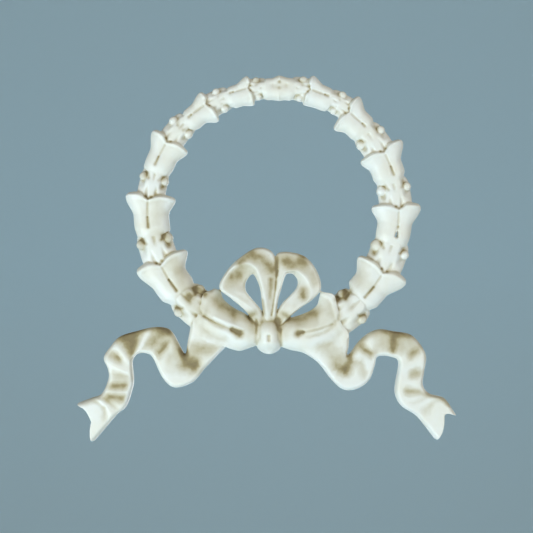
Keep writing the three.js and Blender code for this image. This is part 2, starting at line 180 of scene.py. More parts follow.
# %% The husks' own sizes
# From the bow to the top: the angles of mouth and root from the ring's top, the height of the relief, and
# the length of the pocket
HUSKS = [
    (115.5, 136.3, 7.6, 6.4),
    (85.2, 104.0, 7.3, 4.8),
    (58.0, 74.8, 6.8, 4.0),
    (33.5, 48.0, 6.2, 1.6),
    (13.2, 25.8, 5.6, 1.6),
    (-0.6, 7.8, 5.2, 0.0),
]
# How far each one reaches from the ring's centre line: outwards at root, belly and lips, then inwards at
# root, belly and lips, and where its groove runs
LEFT_WIDTHS = [
    (8.6, 10.7, 14.3, 7.0, 8.3, 13.4, 1.5),
    (8.5, 9.1, 13.4, 8.4, 8.5, 11.7, 2.0),
    (7.8, 8.0, 11.6, 5.8, 6.6, 9.2, 2.4),
    (4.6, 6.2, 8.7, 4.6, 5.4, 8.4, 2.0),
    (3.2, 4.9, 7.6, 4.6, 6.3, 7.4, 1.5),
    (4.2, 5.2, 6.6, 5.0, 5.6, 6.0, 1.6),
]
RIGHT_WIDTHS = [
    (7.2, 9.0, 14.0, 6.4, 10.0, 13.6, 1.0),
    (7.2, 7.8, 12.0, 9.0, 9.4, 12.8, 0.8),
    (5.4, 7.0, 11.7, 8.4, 9.4, 12.0, 0.8),
    (4.8, 6.4, 10.0, 7.8, 8.5, 10.8, 0.5),
    (5.4, 6.4, 9.2, 5.2, 5.8, 6.2, 2.0),
    (5.5, 5.8, 6.5, 4.6, 5.4, 6.0, 1.6),
]
print("husks on each side:", len(HUSKS))

# %% The form of one husk
# Places along a husk are shares of its length, from root to mouth
HUSK_GRID = (90, 110)  # how many cells the grid has along and across
ROOT_END = 0.25  # the root widens and rises up to here
ROOT_LOW = 0.87
ROOT_CORNER = 0.07  # how far the corners at the root are rounded off
ROOT_CORNER_FROM = 0.5  # the rounding starts this far out from the middle
ROOT_CORNER_FADE = 3  # and dies away towards the mouth with this power
FLARE_START = 0.50
FLARE_FULL = 0.92
TIP_LENGTH = 0.13
TIP_ROUND = 0.52  # share of the flare that the rounded tip gives back at the mouth
RIM_RISE = 0.07
RIM = (0.55, 0.045)  # height in mm and half width of the rolled rim
LIP_KNOB = 0.5  # how much higher the rim stands at the lips' corners
LIP_CORNER = (0.5, 0.85)  # where across the husk that rise starts and is full
RIM_AT = 0.93  # the mouth's rim is highest here, and its inner face falls away beyond
INNER_FALL = 0.24
INNER_STAIN = 0.32
INNER_END = 0.99  # where along the husk that stain is full
INNER_ACROSS = (0.05, 0.4)  # where across the husk it starts and is full
LIP_PEAKS = (0.07, 0.06)  # how far the inner and outer lip reach ahead of the mouth
NOTCH = 0.08
PEAK_AT = 0.52
TIP_FALL = 0.03
VALLEY_DEPTH = 0.8
VALLEY_HALF = 0.3
VALLEY_RUN = (0.15, 0.6)  # the valley between the petals deepens along this stretch
MOUTH_FADE = 4  # the mouth's curve dies away towards the root with this power
MEETING = 0.3  # the two top husks meet mouth to mouth, with this share of a free mouth's curves


def flare(u):
    return step(u, FLARE_START, FLARE_FULL) * (1 - TIP_ROUND * round_over(1 - u, TIP_LENGTH))


def mouth_line(t, groove):
    """How far the mouth's edge lies ahead of or behind its mean line."""
    peak = np.where(t < groove, LIP_PEAKS[0], LIP_PEAKS[1])
    across = np.where(t < groove, (groove - t) / (groove + PEAK_AT), (t - groove) / (PEAK_AT - groove))
    tip = TIP_FALL * np.clip((np.abs(t) - PEAK_AT) / (1 - PEAK_AT), 0, 1) ** 2.0
    return mix(-NOTCH, peak, np.sin(np.pi / 2 * np.clip(across, 0, 1))) - tip


def husk_height(u, t, groove, crown):
    along = mix(ROOT_LOW, 1, step(u, 0, ROOT_END)) * (1 + RIM_RISE * flare(u))
    fall = 1 - INNER_FALL * step(u, RIM_AT, 1)
    valley = VALLEY_DEPTH * bump(t - groove, VALLEY_HALF) * step(u, *VALLEY_RUN) * fall
    rim = (RIM[0] + LIP_KNOB * step(np.abs(t), *LIP_CORNER)) * bump(u - RIM_AT, RIM[1])
    return crown * along * dome(t) * fall + rim - valley


print("the mouth's edge runs from", -NOTCH, "to", max(LIP_PEAKS), "of a husk's length")


# %% Make the ring's husks
def ring_husk(side, mouth, root, crown, widths):
    root_out, belly_out, lip_out, root_in, belly_in, lip_in, groove_at = widths

    def reach(u):
        outer = mix(root_out, belly_out, step(u, 0, ROOT_END)) + (lip_out - belly_out) * flare(u)
        inner = mix(root_in, belly_in, step(u, 0, ROOT_END)) + (lip_in - belly_in) * flare(u)
        return (outer - inner) / 2, (outer + inner) / 2

    def groove(u):
        middle, half = reach(u)
        return (groove_at - middle) / half

    def place(u, t):
        middle, half = reach(u)
        corner = ROOT_CORNER * step(np.abs(t), ROOT_CORNER_FROM, 1) * (1 - u) ** ROOT_CORNER_FADE
        ahead = u + corner + mouth_line(t, groove(u)) * u**MOUTH_FADE * (1 if mouth > 0 else MEETING)
        return on_ring(mix(root, mouth, ahead), side, RING_RADIUS + middle + half * t)

    def stain(u, t):
        return INNER_STAIN * step(u, RIM_AT, INNER_END) * step(np.abs(t), *INNER_ACROSS)

    lump(HUSK_GRID, place, lambda u, t: husk_height(u, t, groove(u), crown), stain)


for side, side_widths in ((-1, LEFT_WIDTHS), (1, RIGHT_WIDTHS)):
    for (mouth, root, crown, _), widths in zip(HUSKS, side_widths):
        ring_husk(side, mouth, root, crown, widths)
print("husks on the ring:", len(lumps))

# %% [markdown]
# ## Berries
# Behind each husk's root sits a pair of round berries, one on each side of the garland. Blender's own sphere
# could be used. A lump with a round plan is used instead, because it carries a stain as the other lumps do,
# and its lower half is hidden in the casting anyway.

# %% Where the berries sit
# How far each berry lies from the ring's centre line and its radius, outer berry first
LEFT_BERRIES = [
    (8.2, 2.5, -7.0, 2.6),
    (7.4, 2.4, -6.3, 2.7),
    (6.1, 2.3, -4.4, 2.2),
    (6.0, 2.5, -3.4, 2.3),
    (4.8, 2.0, -4.2, 2.1),
    (4.4, 1.9, -3.4, 1.9),
]
RIGHT_BERRIES = [
    (8.2, 2.4, -7.6, 2.5),
    (7.2, 2.4, -7.4, 3.1),
    (5.8, 2.3, -6.6, 2.8),
    (5.4, 2.2, -7.0, 2.3),
    (5.6, 2.2, -3.0, 1.9),
    (5.6, 2.1, -3.4, 1.8),
]
BERRY_BACK = 2.7  # how far behind the root
BERRY_SEAT = 0.46  # height of its middle, as a share of the husk's crown
print("berries:", 2 * len(LEFT_BERRIES + RIGHT_BERRIES))

# %% The form of a berry
BERRY_GRID = (16, 40)
BERRY_POLE = 0.02  # the grid's first row is this small ring, so that it doesn't shrink to one point
BERRY_FLAT = 0.85
BERRY_STAIN = 0.2
BERRY_SPREAD = (0.6, 1.4)  # how much of that its top and its foot hold
BERRY_TURN = (0.4, 0.9)  # where the one passes into the other, from the top down


def arc_degrees(length):
    return np.degrees(length / RING_RADIUS)


def berry(side, root, reach, radius, crown):
    centre = on_ring(root + arc_degrees(BERRY_BACK), side, RING_RADIUS + reach)

    def place(u, t):
        turn = np.pi * t
        ring = radius * np.sin(np.pi / 2 * np.maximum(u, BERRY_POLE))
        return centre[0] + ring * np.cos(turn), centre[1] + ring * np.sin(turn)

    def height(u, t):
        return crown * BERRY_SEAT + BERRY_FLAT * radius * np.cos(np.pi / 2 * u)

    def stain(u, t):
        return BERRY_STAIN * mix(*BERRY_SPREAD, step(u, *BERRY_TURN))

    lump(BERRY_GRID, place, height, stain)


print("a berry lies", round(float(arc_degrees(BERRY_BACK)), 1), "degrees behind its husk's root")

# %% [markdown]
# ## Calyxes
# A leafy calyx fills the gap between the mouth of one husk and the root of the next, with three lobes at the
# mouth and a shoulder on each side for a berry. Each leaf could be a piece of its own. One lump with dips in
# it is enough here, since the leaves are only a few millimetres wide and grown together.

# %% Calyxes
CALYX_GRID = (50, 70)
JOIN_ANGLE = 147.0  # where the ring comes out of the husks beside the knot
CALYX_CROWN = 0.86  # its height, as a share of the husk's crown
JOIN_CROWN = 0.97  # of the first calyx, beside the bow
CALYX_RISE = 1.02  # how much it has risen behind the mouth
RISE_ALONG = (0.1, 0.4)
CALYX_SWELL = (0.04, 0.5, 0.2)  # how much more it swells, where along it, and the swelling's half width
CALYX_TUCK = 2.4  # how far it runs into the mouth and under the root
CALYX_HUG = 0.8  # how much of each berry's own radius the calyx takes in
CALYX_CORNER = (0.28, 0.3)  # how far its corners at the husk's root are rounded off, across and along
SHOULDER_AT = 0.58  # outside this the calyx drops to a shoulder, on which the berries sit
SHOULDER_SOFT = 0.15
SHOULDER_DROP = 1.7
SHOULDER_ALONG = (0.3, 0.55)  # it drops between these places along the calyx
LOBE_DIPS = (0.34, 1.0, 0.1)  # where the calyx parts into three lobes, how deep, and the dips' half width
LOBES_ALONG = (0.15, 0.6)  # the dips run out between these places
ROOT_CREASE = (0.6, 0.1)  # depth and half width of the crease in front of the husk's root
CREASE_ALONG = (0.5, 0.75)


def calyx(side, below, root, crown, beads):
    outer = beads[0] + CALYX_HUG * beads[1]
    inner = beads[2] - CALYX_HUG * beads[3]
    start = below + arc_degrees(CALYX_TUCK)
    end = root - arc_degrees(CALYX_TUCK)

    def place(u, t):
        half = (outer - inner) / 2 * (1 - CALYX_CORNER[0] * round_over(1 - u, CALYX_CORNER[1]))
        return on_ring(mix(start, end, u), side, RING_RADIUS + (outer + inner) / 2 + half * t)

    def height(u, t):
        rise = mix(1.0, CALYX_RISE, step(u, *RISE_ALONG))
        rise = rise + CALYX_SWELL[0] * bump(u - CALYX_SWELL[1], CALYX_SWELL[2])
        outside = step(np.abs(t), SHOULDER_AT - SHOULDER_SOFT, SHOULDER_AT + SHOULDER_SOFT)
        drop = SHOULDER_DROP * outside * step(u, *SHOULDER_ALONG)
        dips = LOBE_DIPS[1] * bump(np.abs(t) - LOBE_DIPS[0], LOBE_DIPS[2])
        lobes = dips * (1 - step(u, *LOBES_ALONG))
        top = crown * (JOIN_CROWN if below == JOIN_ANGLE else CALYX_CROWN)
        crease = ROOT_CREASE[0] * bump(t, ROOT_CREASE[1]) * step(u, *CREASE_ALONG)
        return top * rise * dome(t) - drop - lobes - crease

    lump(CALYX_GRID, place, height)


for side, berries in ((-1, LEFT_BERRIES), (1, RIGHT_BERRIES)):
    below = JOIN_ANGLE
    for (mouth, root, crown, _), beads in zip(HUSKS, berries):
        calyx(side, below, root, crown, beads)
        berry(side, root, beads[0], beads[1], crown)
        berry(side, root, beads[2], beads[3], crown)
        below = mouth
print("lumps so far:", len(lumps))

# %% [markdown]
# ## Ribbon between two edges
# The bow is ribbon: two loops that stand up from the knot, and two tails. A ribbon could be a strip swept
# along one curve, but its width changes as it twists. So each stretch is told by rungs, like a ladder's,
# that join one edge to the other, and a smooth curve through the rungs' ends gives the edges between them.

# %% Smooth curves through rungs
def through(points, u):
    """A smooth curve through the points, read at u from 0 to 1."""
    points = np.asarray(points, dtype=float)
    spans = len(points) - 1
    padded = np.concatenate([[2 * points[0] - points[1]], points, [2 * points[-1] - points[-2]]])
    scaled = np.clip(u, 0, 1) * spans
    first = np.minimum(scaled.astype(int), spans - 1)
    share = scaled - first
    before, start, end, after = (padded[first + k] for k in range(4))
    if points.ndim > 1:
        share = share[..., None]
    return 0.5 * (
        2 * start
        + (end - before) * share
        + (2 * before - 5 * start + 4 * end - after) * share**2
        + (3 * start - before - 3 * end + after) * share**3
    )


def between(rungs, shift=None):
    rungs = np.asarray(rungs, dtype=float)

    def place(u, t):
        first, second = through(rungs[:, 0:2], u), through(rungs[:, 2:4], u)
        spot = mix(first, second, (t[..., None] + 1) / 2)
        if shift is not None:
            spot = spot + shift(u, t)
        return spot[..., 0], spot[..., 1]

    return place


def half_width(rungs, u):
    rungs = np.asarray(rungs, dtype=float)
    first, second = through(rungs[:, 0:2], u), through(rungs[:, 2:4], u)
    return np.linalg.norm(second - first, axis=-1) / 2


halfway = through([0.0, 1.0, 4.0, 9.0], np.array([0.5]))
print("a smooth curve through 0, 1, 4 and 9 passes", round(float(halfway[0]), 2), "halfway")

# %% [markdown]
# ## The husks beside the knot
# On either side of the knot lies a husk larger than those of the ring. Its upper petal is dished and meets
# the ring, and its lower petal runs out into the ribbon tail. The ring's husk could be scaled up, but these
# bend and spread as they go, so they are made from rungs, which can bend.

# %% Where the husks beside the knot run
# Each rung is x and z at the upper edge, then x and z at the lower edge
LEFT_BOW_HUSK = [
    (-3.6, 8.6, -3.6, -3.4),
    (-8.8, 9.8, -9.2, -5.5),
    (-12.4, 12.0, -14.2, -7.0),
    (-16.2, 13.8, -18.2, -6.3),
    (-20.0, 16.4, -21.8, -4.8),
    (-22.9, 19.4, -27.2, -3.5),
    (-24.4, 23.2, -33.2, -0.5),
    (-27.6, 24.4, -37.8, 4.5),
]
RIGHT_BOW_HUSK = [
    (4.6, 8.6, 4.6, -4.4),
    (9.8, 9.4, 10.8, -6.5),
    (13.6, 10.2, 15.8, -7.5),
    (17.6, 11.6, 20.2, -8.8),
    (21.4, 13.4, 25.8, -8.0),
    (24.4, 16.0, 31.2, -6.5),
    (25.6, 20.0, 36.2, -4.0),
    (26.4, 23.2, 40.2, 0.0),
]
print("rungs in each:", len(LEFT_BOW_HUSK), len(RIGHT_BOW_HUSK))

# %% Make the husks beside the knot
BOW_HUSK_GRID = (120, 130)
BOW_HUSK_CROWN = 9.0
BOW_ROOT = 0.97  # height beside the knot, as a share of the crown
BOW_ROOT_END = 0.3  # the full height is reached here
BOW_MOUTH_FALL = 0.12
BOW_FALL_FROM = 0.5
BOW_RIM = (0.4, 0.95, 0.03)  # the rim's height in mm, and its place and half width along the husk
BOW_GROOVE = (0.04, 0.22)  # where the groove runs across the husk, at its root and its mouth
BOW_VALLEY = (0.6, 0.1)  # depth in mm and half width of the valley along the groove
BOW_VALLEY_RUN = (0.3, 0.6)  # it deepens along this stretch
RUFFLE = 0.018  # small waves along the mouth
RUFFLE_TURNS = 9
BOW_LOBE_FADE = 5  # the mouth's curve dies away towards the root with this power
DISH_ACROSS = (0.1, 0.75)  # where across the upper petal its hollow starts and is full
DISH_SHORES = (0.25, 0.12)  # how long the hollow's two ends are
DISH_STAIN = 0.18
PETAL_EDGE = 7.0  # the lower petal sinks to this, level with the tail that it runs out into
PETAL_ACROSS = (0.3, 0.95)  # where across the husk it starts to sink, and has sunk
PETAL_ALONG = (0.35, 0.6)  # the same along the husk


def bow_husk(rungs, lobes, dish):
    """dish is the depth of the upper petal's hollow and where it starts and ends along the husk."""
    ends = np.asarray(rungs, dtype=float)
    ahead = (ends[-1, :2] + ends[-1, 2:] - ends[-3, :2] - ends[-3, 2:]) / 2
    ahead *= np.linalg.norm(ends[-1, 2:] - ends[-1, :2]) / np.linalg.norm(ahead)
    dish_depth, dish_start, dish_end = dish

    def shift(u, t):
        groove = mix(*BOW_GROOVE, u)
        upper = t < groove
        across = np.where(upper, (t + 1) / (groove + 1), (t - groove) / (1 - groove))
        curve = np.where(upper, lobes[0], lobes[1]) * np.sin(np.pi * across)
        lobe = (curve + RUFFLE * np.sin(RUFFLE_TURNS * t)) * u**BOW_LOBE_FADE
        return lobe[..., None] * ahead

    def hollow(u, t):
        entered = step(u, dish_start, dish_start + DISH_SHORES[0])
        left = step(u, dish_end, dish_end + DISH_SHORES[1])
        return step(-t, *DISH_ACROSS) * entered * (1 - left)

    def height(u, t):
        groove = mix(*BOW_GROOVE, u)
        fall = BOW_MOUTH_FALL * step(u, BOW_FALL_FROM, 1)
        rise = mix(BOW_ROOT, 1, step(u, 0, BOW_ROOT_END)) * (1 - fall)
        whole = BOW_HUSK_CROWN * rise * dome(t) + BOW_RIM[0] * bump(u - BOW_RIM[1], BOW_RIM[2])
        level = mix(whole, PETAL_EDGE, step(t, *PETAL_ACROSS) * step(u, *PETAL_ALONG))
        valley = BOW_VALLEY[0] * bump(t - groove, BOW_VALLEY[1]) * step(u, *BOW_VALLEY_RUN)
        return level - valley - dish_depth * hollow(u, t)

    lump(BOW_HUSK_GRID, between(rungs, shift), height, lambda u, t: DISH_STAIN * hollow(u, t))


LEFT_LOBES, RIGHT_LOBES = (0.13, 0.06), (0.16, 0.03)  # how far the upper and lower petal reach ahead
LEFT_DISH, RIGHT_DISH = (1.4, 0.25, 0.82), (0.8, 0.1, 0.6)
bow_husk(LEFT_BOW_HUSK, LEFT_LOBES, LEFT_DISH)
bow_husk(RIGHT_BOW_HUSK, RIGHT_LOBES, RIGHT_DISH)
print("lumps with the husks beside the knot:", len(lumps))

# %% [markdown]
# ## The loops
# Each loop is one band of ribbon round an open hole. It is highest along its front edge and falls away to
# both sides, and its two legs, which run down into the knot, are nearly flat. A bent strip could be modelled
# with its real thickness, but in a casting only its front shows, so a lump along the band is enough.

# %% Where the loops run
# A rung joins the hole's edge to the outer edge, and its last number is where the ribbon's bright front
# edge crosses it, from -1 at the hole to 1 at the outer edge
LEFT_LOOP = [
    (-1.8, 6.0, 1.8, 6.0, -0.1),
    (-2.4, 10.5, 2.0, 10.5, -0.1),
    (-3.3, 16.5, 2.6, 17.0, -0.27),
    (-4.1, 23.5, 3.4, 25.0, -0.6),
    (-5.6, 28.0, 4.4, 36.0, -0.7),
    (-7.4, 31.2, 1.3, 43.0, -0.6),
    (-9.0, 30.8, -5.8, 44.6, -0.26),
    (-10.4, 29.0, -13.6, 40.2, 0.38),
    (-11.6, 26.5, -20.2, 34.0, 0.8),
    (-11.2, 22.8, -24.6, 25.0, 0.75),
    (-8.8, 19.6, -18.8, 19.4, 0.3),
    (-6.2, 16.6, -14.2, 15.6, 0.0),
    (-3.4, 12.8, -10.6, 12.0, -0.1),
    (-2.0, 7.0, -6.6, 6.0, -0.1),
]
RIGHT_LOOP = [
    (3.6, 6.0, -0.4, 6.0, -0.4),
    (4.2, 12.0, 0.0, 10.5, -0.47),
    (4.7, 18.0, 0.4, 17.0, -0.75),
    (6.2, 23.5, 1.0, 25.0, -0.8),
    (7.5, 28.0, 2.6, 36.0, -0.85),
    (8.8, 31.2, 4.6, 41.8, -0.8),
    (10.7, 31.8, 11.2, 42.4, -0.78),
    (12.8, 31.0, 18.8, 39.8, -0.55),
    (14.6, 28.0, 24.4, 32.6, -0.24),
    (13.9, 24.4, 26.2, 24.2, 0.17),
    (10.8, 20.8, 21.6, 18.5, 0.7),
    (7.3, 17.3, 16.2, 14.8, 0.85),
    (4.6, 13.2, 10.8, 10.2, 0.85),
    (2.4, 7.5, 7.0, 6.0, 0.8),
]
print("rungs in the loops:", len(LEFT_LOOP), len(RIGHT_LOOP))

# %% Make the loops
LOOP_GRID = (260, 70)
LOOP_CROWN = 10.0
LOOP_FOOT = (0.78, 0.13)  # share of the crown at the knot, and how far along the band the full crown is met
LEGS = ((0.18, 0.36), (0.61, 0.73))  # the first leg ends and the second one starts along these stretches
LOOP_HOLE_FALL = 3.2  # how much lower the ribbon lies at the hole than at its front edge
LOOP_OUTER_FALL = 1.5
LEG_FALL = 0.6  # the same in the legs, where the ribbon lies nearly flat
FALL_CURVES = (1.5, 1.3)  # powers with which the ribbon falls away, outwards and inwards
EDGE_ROUND = (2.2, 1.4)  # depth and width of the rounded border
FRONT_EDGE = (0.45, 1.0)  # height and half width of the ribbon's raised front edge
LEG_LOSS = 0.5  # the share of that height that is lost in the legs
RIDGE_LIMIT = 0.9  # the front edge stays this far inside the ribbon's own edges


def loop(rungs):
    ridges = np.asarray(rungs, dtype=float)[:, 4]

    def height(u, t):
        ridge = np.clip(through(ridges, u), -RIDGE_LIMIT, RIDGE_LIMIT)
        entered = np.minimum(step(u, 0, LOOP_FOOT[1]), step(1 - u, 0, LOOP_FOOT[1]))
        crown = LOOP_CROWN * mix(LOOP_FOOT[0], 1, entered)
        leg = np.maximum(1 - step(u, *LEGS[0]), step(u, *LEGS[1]))
        outside = np.clip((t - ridge) / (1 - ridge), 0, 1)
        inside = np.clip((ridge - t) / (1 + ridge), 0, 1)
        outer_fall = mix(LOOP_OUTER_FALL, LEG_FALL, leg) * outside ** FALL_CURVES[0]
        inner_fall = mix(LOOP_HOLE_FALL, LEG_FALL, leg) * inside ** FALL_CURVES[1]
        half = half_width(rungs, u)
        raised = FRONT_EDGE[0] * bump((t - ridge) * half, FRONT_EDGE[1]) * (1 - LEG_LOSS * leg)
        border = EDGE_ROUND[0] * round_over((1 - np.abs(t)) * half, EDGE_ROUND[1])
        return crown - np.where(t > ridge, outer_fall, inner_fall) + raised - border

    lump(LOOP_GRID, between([rung[:4] for rung in rungs]), height)


loop(LEFT_LOOP)
loop(RIGHT_LOOP)
print("lumps with the loops:", len(lumps))

# %% [markdown]
# ## The knot
# The knot is a plump drop of ribbon, narrow and low at the top and round at the bottom, where it stands
# highest of all. A squashed sphere would come near it. A lump is used because its width, its height and its
# round end can then be set apart from each other. A low gather of ribbon fills the place behind its top.

# %% The knot
KNOT_GRID = (90, 70)
KNOT_TOP = 10.2
KNOT_BOTTOM = -8.5
KNOT_HALF = 6.4
KNOT_SIDE = 0.25
KNOT_CROWN = 10.6
KNOT_NECK = (0.86, 0.74)  # its width and height at the top, as shares of the full ones
KNOT_ROUND = 0.29  # share of the height that the round bottom takes
KNOT_OPEN = 1.02  # the round stops a little before it closes, so that the last row keeps a width
KNOT_BELLY = 0.5  # it has reached its full width this far down
KNOT_SHOULDER = 0.4  # and its full height this far down
KNOT_CHIN = (0.42, 0.6, 1.5)  # how much height it loses at the bottom, from where on, and the loss's power


def knot():
    def place(u, t):
        belly = mix(KNOT_NECK[0], 1, step(u, 0, KNOT_BELLY))
        round_end = np.clip((u - 1 + KNOT_ROUND) / (KNOT_OPEN * KNOT_ROUND), 0, 1)
        half = KNOT_HALF * belly * np.sqrt(1 - round_end**2)
        return KNOT_SIDE + half * t, mix(KNOT_TOP, KNOT_BOTTOM, u) + 0 * t

    def height(u, t):
        rise = mix(KNOT_NECK[1], 1, step(u, 0, KNOT_SHOULDER))
        chin = KNOT_CHIN[0] * step(u, KNOT_CHIN[1], 1.0) ** KNOT_CHIN[2]
        return KNOT_CROWN * rise * dome(t) * (1 - chin)

    lump(KNOT_GRID, place, height)


knot()
print("the knot is", round(2 * KNOT_HALF, 1), "mm wide and", round(KNOT_TOP - KNOT_BOTTOM, 1), "mm high")

# %% The gathers behind the knot's top
GATHER = [(-6.2, 5.0, 6.2, 5.0), (-5.6, 9.0, 5.8, 9.0), (-4.6, 12.0, 4.8, 12.0)]
GATHER_GRID = (20, 40)
GATHER_HEIGHT = 7.0
GATHER_FALL = 0.25
lump(GATHER_GRID, between(GATHER), lambda u, t: GATHER_HEIGHT * dome(t) * (1 - GATHER_FALL * u))
print("lumps with the knot:", len(lumps))

# %% [markdown]
# ## The ribbon tails
# The tails wave across the ground and end in a swallow's fork. Their edges are bevelled, and the face rises
# and dips in soft folds that run across it. A cloth simulation could drape such a ribbon, but a cast one is
# carved, flat at the back and with its folds in chosen places. So the path comes from rungs and the folds
# from a table.

# %% Where the tails run
# Each rung is x and z at the upper edge, then x and z at the lower edge
LEFT_TAIL = [
    (-38.2, 9.5, -17.5, -2.0),
    (-39.2, 4.5, -22.0, -5.6),
    (-40.6, -3.0, -31.6, -15.6),
    (-41.3, -7.8, -37.8, -22.6),
    (-42.4, -8.2, -47.0, -25.4),
    (-44.4, -4.6, -53.0, -20.6),
    (-47.8, 1.6, -58.2, -10.2),
    (-51.4, 4.4, -61.8, -8.2),
    (-58.0, 4.8, -65.2, -8.4),
    (-65.2, 3.1, -67.0, -9.8),
    (-74.4, 0.2, -68.2, -12.0),
    (-79.2, -4.8, -68.2, -14.6),
    (-82.6, -10.4, -67.8, -18.2),
    (-80.6, -15.8, -67.6, -22.0),
    (-80.2, -20.8, -68.2, -26.2),
    (-83.4, -28.2, -71.4, -35.0),
    (-88.6, -30.8, -76.6, -39.6),
    (-97.0, -34.4, -88.3, -53.0),
]
RIGHT_TAIL = [
    (37.6, 8.0, 12.5, -3.0),
    (40.2, 2.0, 16.6, -7.2),
    (40.2, -4.4, 24.6, -12.8),
    (39.3, -8.8, 32.4, -22.4),
    (40.6, -8.6, 38.4, -26.6),
    (42.2, -6.4, 45.4, -25.6),
    (44.2, -3.6, 50.6, -21.4),
    (47.2, -0.4, 53.2, -14.6),
    (51.2, 2.4, 54.2, -10.4),
    (56.2, 3.8, 57.4, -9.4),
    (62.6, 2.8, 61.4, -10.0),
    (71.0, 1.2, 64.2, -11.0),
    (76.0, -3.6, 65.2, -13.0),
    (79.0, -9.6, 64.8, -17.0),
    (78.0, -17.8, 63.6, -23.4),
    (77.4, -24.0, 63.6, -29.0),
    (80.6, -28.4, 66.6, -34.6),
    (88.4, -31.2, 74.6, -40.2),
    (94.7, -39.9, 84.0, -52.0),
]
print("rungs in the tails:", len(LEFT_TAIL), len(RIGHT_TAIL))

# %% The folds, stains and painted edge shade of the tails
# Folds: how far along the ribbon's middle line, how much further its far end lies, half width in mm, where
# across and how far across as shares of the half width, depth (a crest is negative), and wash
LEFT_FOLDS = [
    (11.3, -4.5, 4.0, 0.0, 1.1, 0.4, 0.50),
    (34.0, 0.0, 5.0, -0.3, 0.9, 0.1, 0.20),
    (41.9, 0.0, 2.2, 0.1, 0.7, 0.5, 0.34),
    (47.4, 0.0, 5.0, -0.4, 1.2, 0.2, 0.62),
    (53.4, 0.0, 1.3, 0.0, 1.1, -0.4, -0.26),
    (60.0, 0.0, 4.6, 0.0, 1.4, 0.8, 0.78),
    (66.0, 0.0, 1.8, 0.0, 1.0, -0.5, -0.10),
    (69.3, 0.0, 2.4, -0.5, 0.7, 0.5, 0.46),
    (73.5, 0.0, 2.2, 0.0, 1.0, -0.4, 0.0),
    (77.8, -2.0, 2.4, 0.0, 1.0, 0.3, 0.20),
    (82.8, -2.9, 2.7, -0.1, 1.0, 0.6, 0.52),
    (86.1, -2.8, 1.0, 0.0, 1.0, -0.2, -0.12),
    (89.2, -2.6, 2.8, 0.0, 1.0, 0.4, 0.58),
    (93.0, 1.0, 1.3, 0.3, 0.8, 0.3, 0.16),
    (96.2, 1.5, 1.3, 0.0, 1.0, -0.3, 0.0),
    (99.5, 1.5, 2.2, 0.0, 1.0, 0.3, 0.18),
]
RIGHT_FOLDS = [
    (17.2, 0.0, 5.0, -0.2, 0.9, 0.2, 0.20),
    (33.4, 0.0, 2.8, 0.3, 0.6, 0.3, 0.34),
    (40.8, 5.0, 2.8, 0.0, 0.85, 0.6, 0.56),
    (43.8, 0.0, 2.0, 0.0, 1.0, -0.4, 0.0),
    (49.8, 0.0, 4.4, -0.2, 1.2, 0.2, 0.38),
    (55.3, 0.0, 2.9, -0.1, 1.2, 0.6, 0.66),
    (60.6, 0.0, 3.4, -0.3, 1.1, 0.2, 0.44),
    (66.0, 0.0, 2.7, -0.65, 0.9, 0.6, 0.56),
    (70.8, 0.0, 1.6, -0.2, 0.8, -0.3, -0.10),
    (75.3, -3.0, 3.2, -0.42, 0.6, 0.5, 0.50),
    (79.7, -2.8, 1.6, -0.2, 0.8, -0.3, 0.0),
    (84.6, -2.6, 2.7, -0.25, 0.7, 0.5, 0.46),
    (90.7, 0.0, 2.0, -0.1, 0.7, 0.3, 0.12),
    (98.0, 0.0, 3.4, 0.0, 0.9, 0.3, 0.24),
]
# Stretches of the upper edge that are darkened, partly by wash and partly as painted shade on the upper
# bevel,
# which faces away from the lamp: from and to along the middle line, and how much
LEFT_EDGE_SHADE_AND_WASH = [(18, 33, 0.64), (33, 44, 0.38), (44, 66, 0.50), (93, 108, 0.38)]
RIGHT_EDGE_SHADE_AND_WASH = [(24, 42, 0.62), (42, 62, 0.42), (88, 106, 0.58)]
print("folds:", len(LEFT_FOLDS), "on the left and", len(RIGHT_FOLDS), "on the right")

# %% How far along the ribbon a place lies
WALK_STEPS = 1000


def middle_length(rungs, u):
    """How far along the ribbon's middle line each place lies."""
    rungs = np.asarray(rungs, dtype=float)
    steps = np.linspace(0, 1, WALK_STEPS)
    middle = through((rungs[:, 0:2] + rungs[:, 2:4]) / 2, steps)
    walked = np.concatenate([[0], np.cumsum(np.linalg.norm(np.diff(middle, axis=0), axis=1))])
    return np.interp(u, steps, walked)


for name, rungs in (("left", LEFT_TAIL), ("right", RIGHT_TAIL)):
    print("the", name, "tail's middle line is", round(float(middle_length(rungs, 1))), "mm long")

# %% Make the tails
# A fork has its notch's place across the end, how far in x and z the notch reaches back, the powers of the
# upper and lower prong's curves, and how far the lower prong bulges out
LEFT_FORK = {"where": 0.0, "root": (4.1, 1.4), "curves": (5.0, 1.5), "bulge": 0.4}
RIGHT_FORK = {"where": -0.3, "root": (-2.9, 5.3), "curves": (1.6, 1.1), "bulge": 1.7}
FORK_RUNGS = 1.6  # the fork is cut into this many of the last rungs
PRONG_ROUND = 1.6  # how far the fork's tips fall back as they round off
PRONG_CORNER = 0.17  # the share of the half width that the rounding takes
TAIL_GRID = (520, 64)
TAIL_CROWN = 6.8
TAIL_EDGE = 3.0
BEVEL = 2.3  # width of the sloping border
FOLD_REACH = (0.15, 0.9)  # the folds come in from the edge over these shares of the bevel
FOLD_STAIN_REACH = (0.2, 1)  # the same for their stain at the lower edge, which stays clean as if lit, while at the upper one it runs over the bevel as painted shade
FOLD_DEPTH, FOLD_WASH = 5, 6  # their places in a fold's row
EDGE_SHADE_BAND = (0.6, 1.9)  # the upper edge's painted shade and wash fade out over these shares of the bevel
EDGE_SHADE_FADE = 2  # half the length over which that edge shade starts and ends
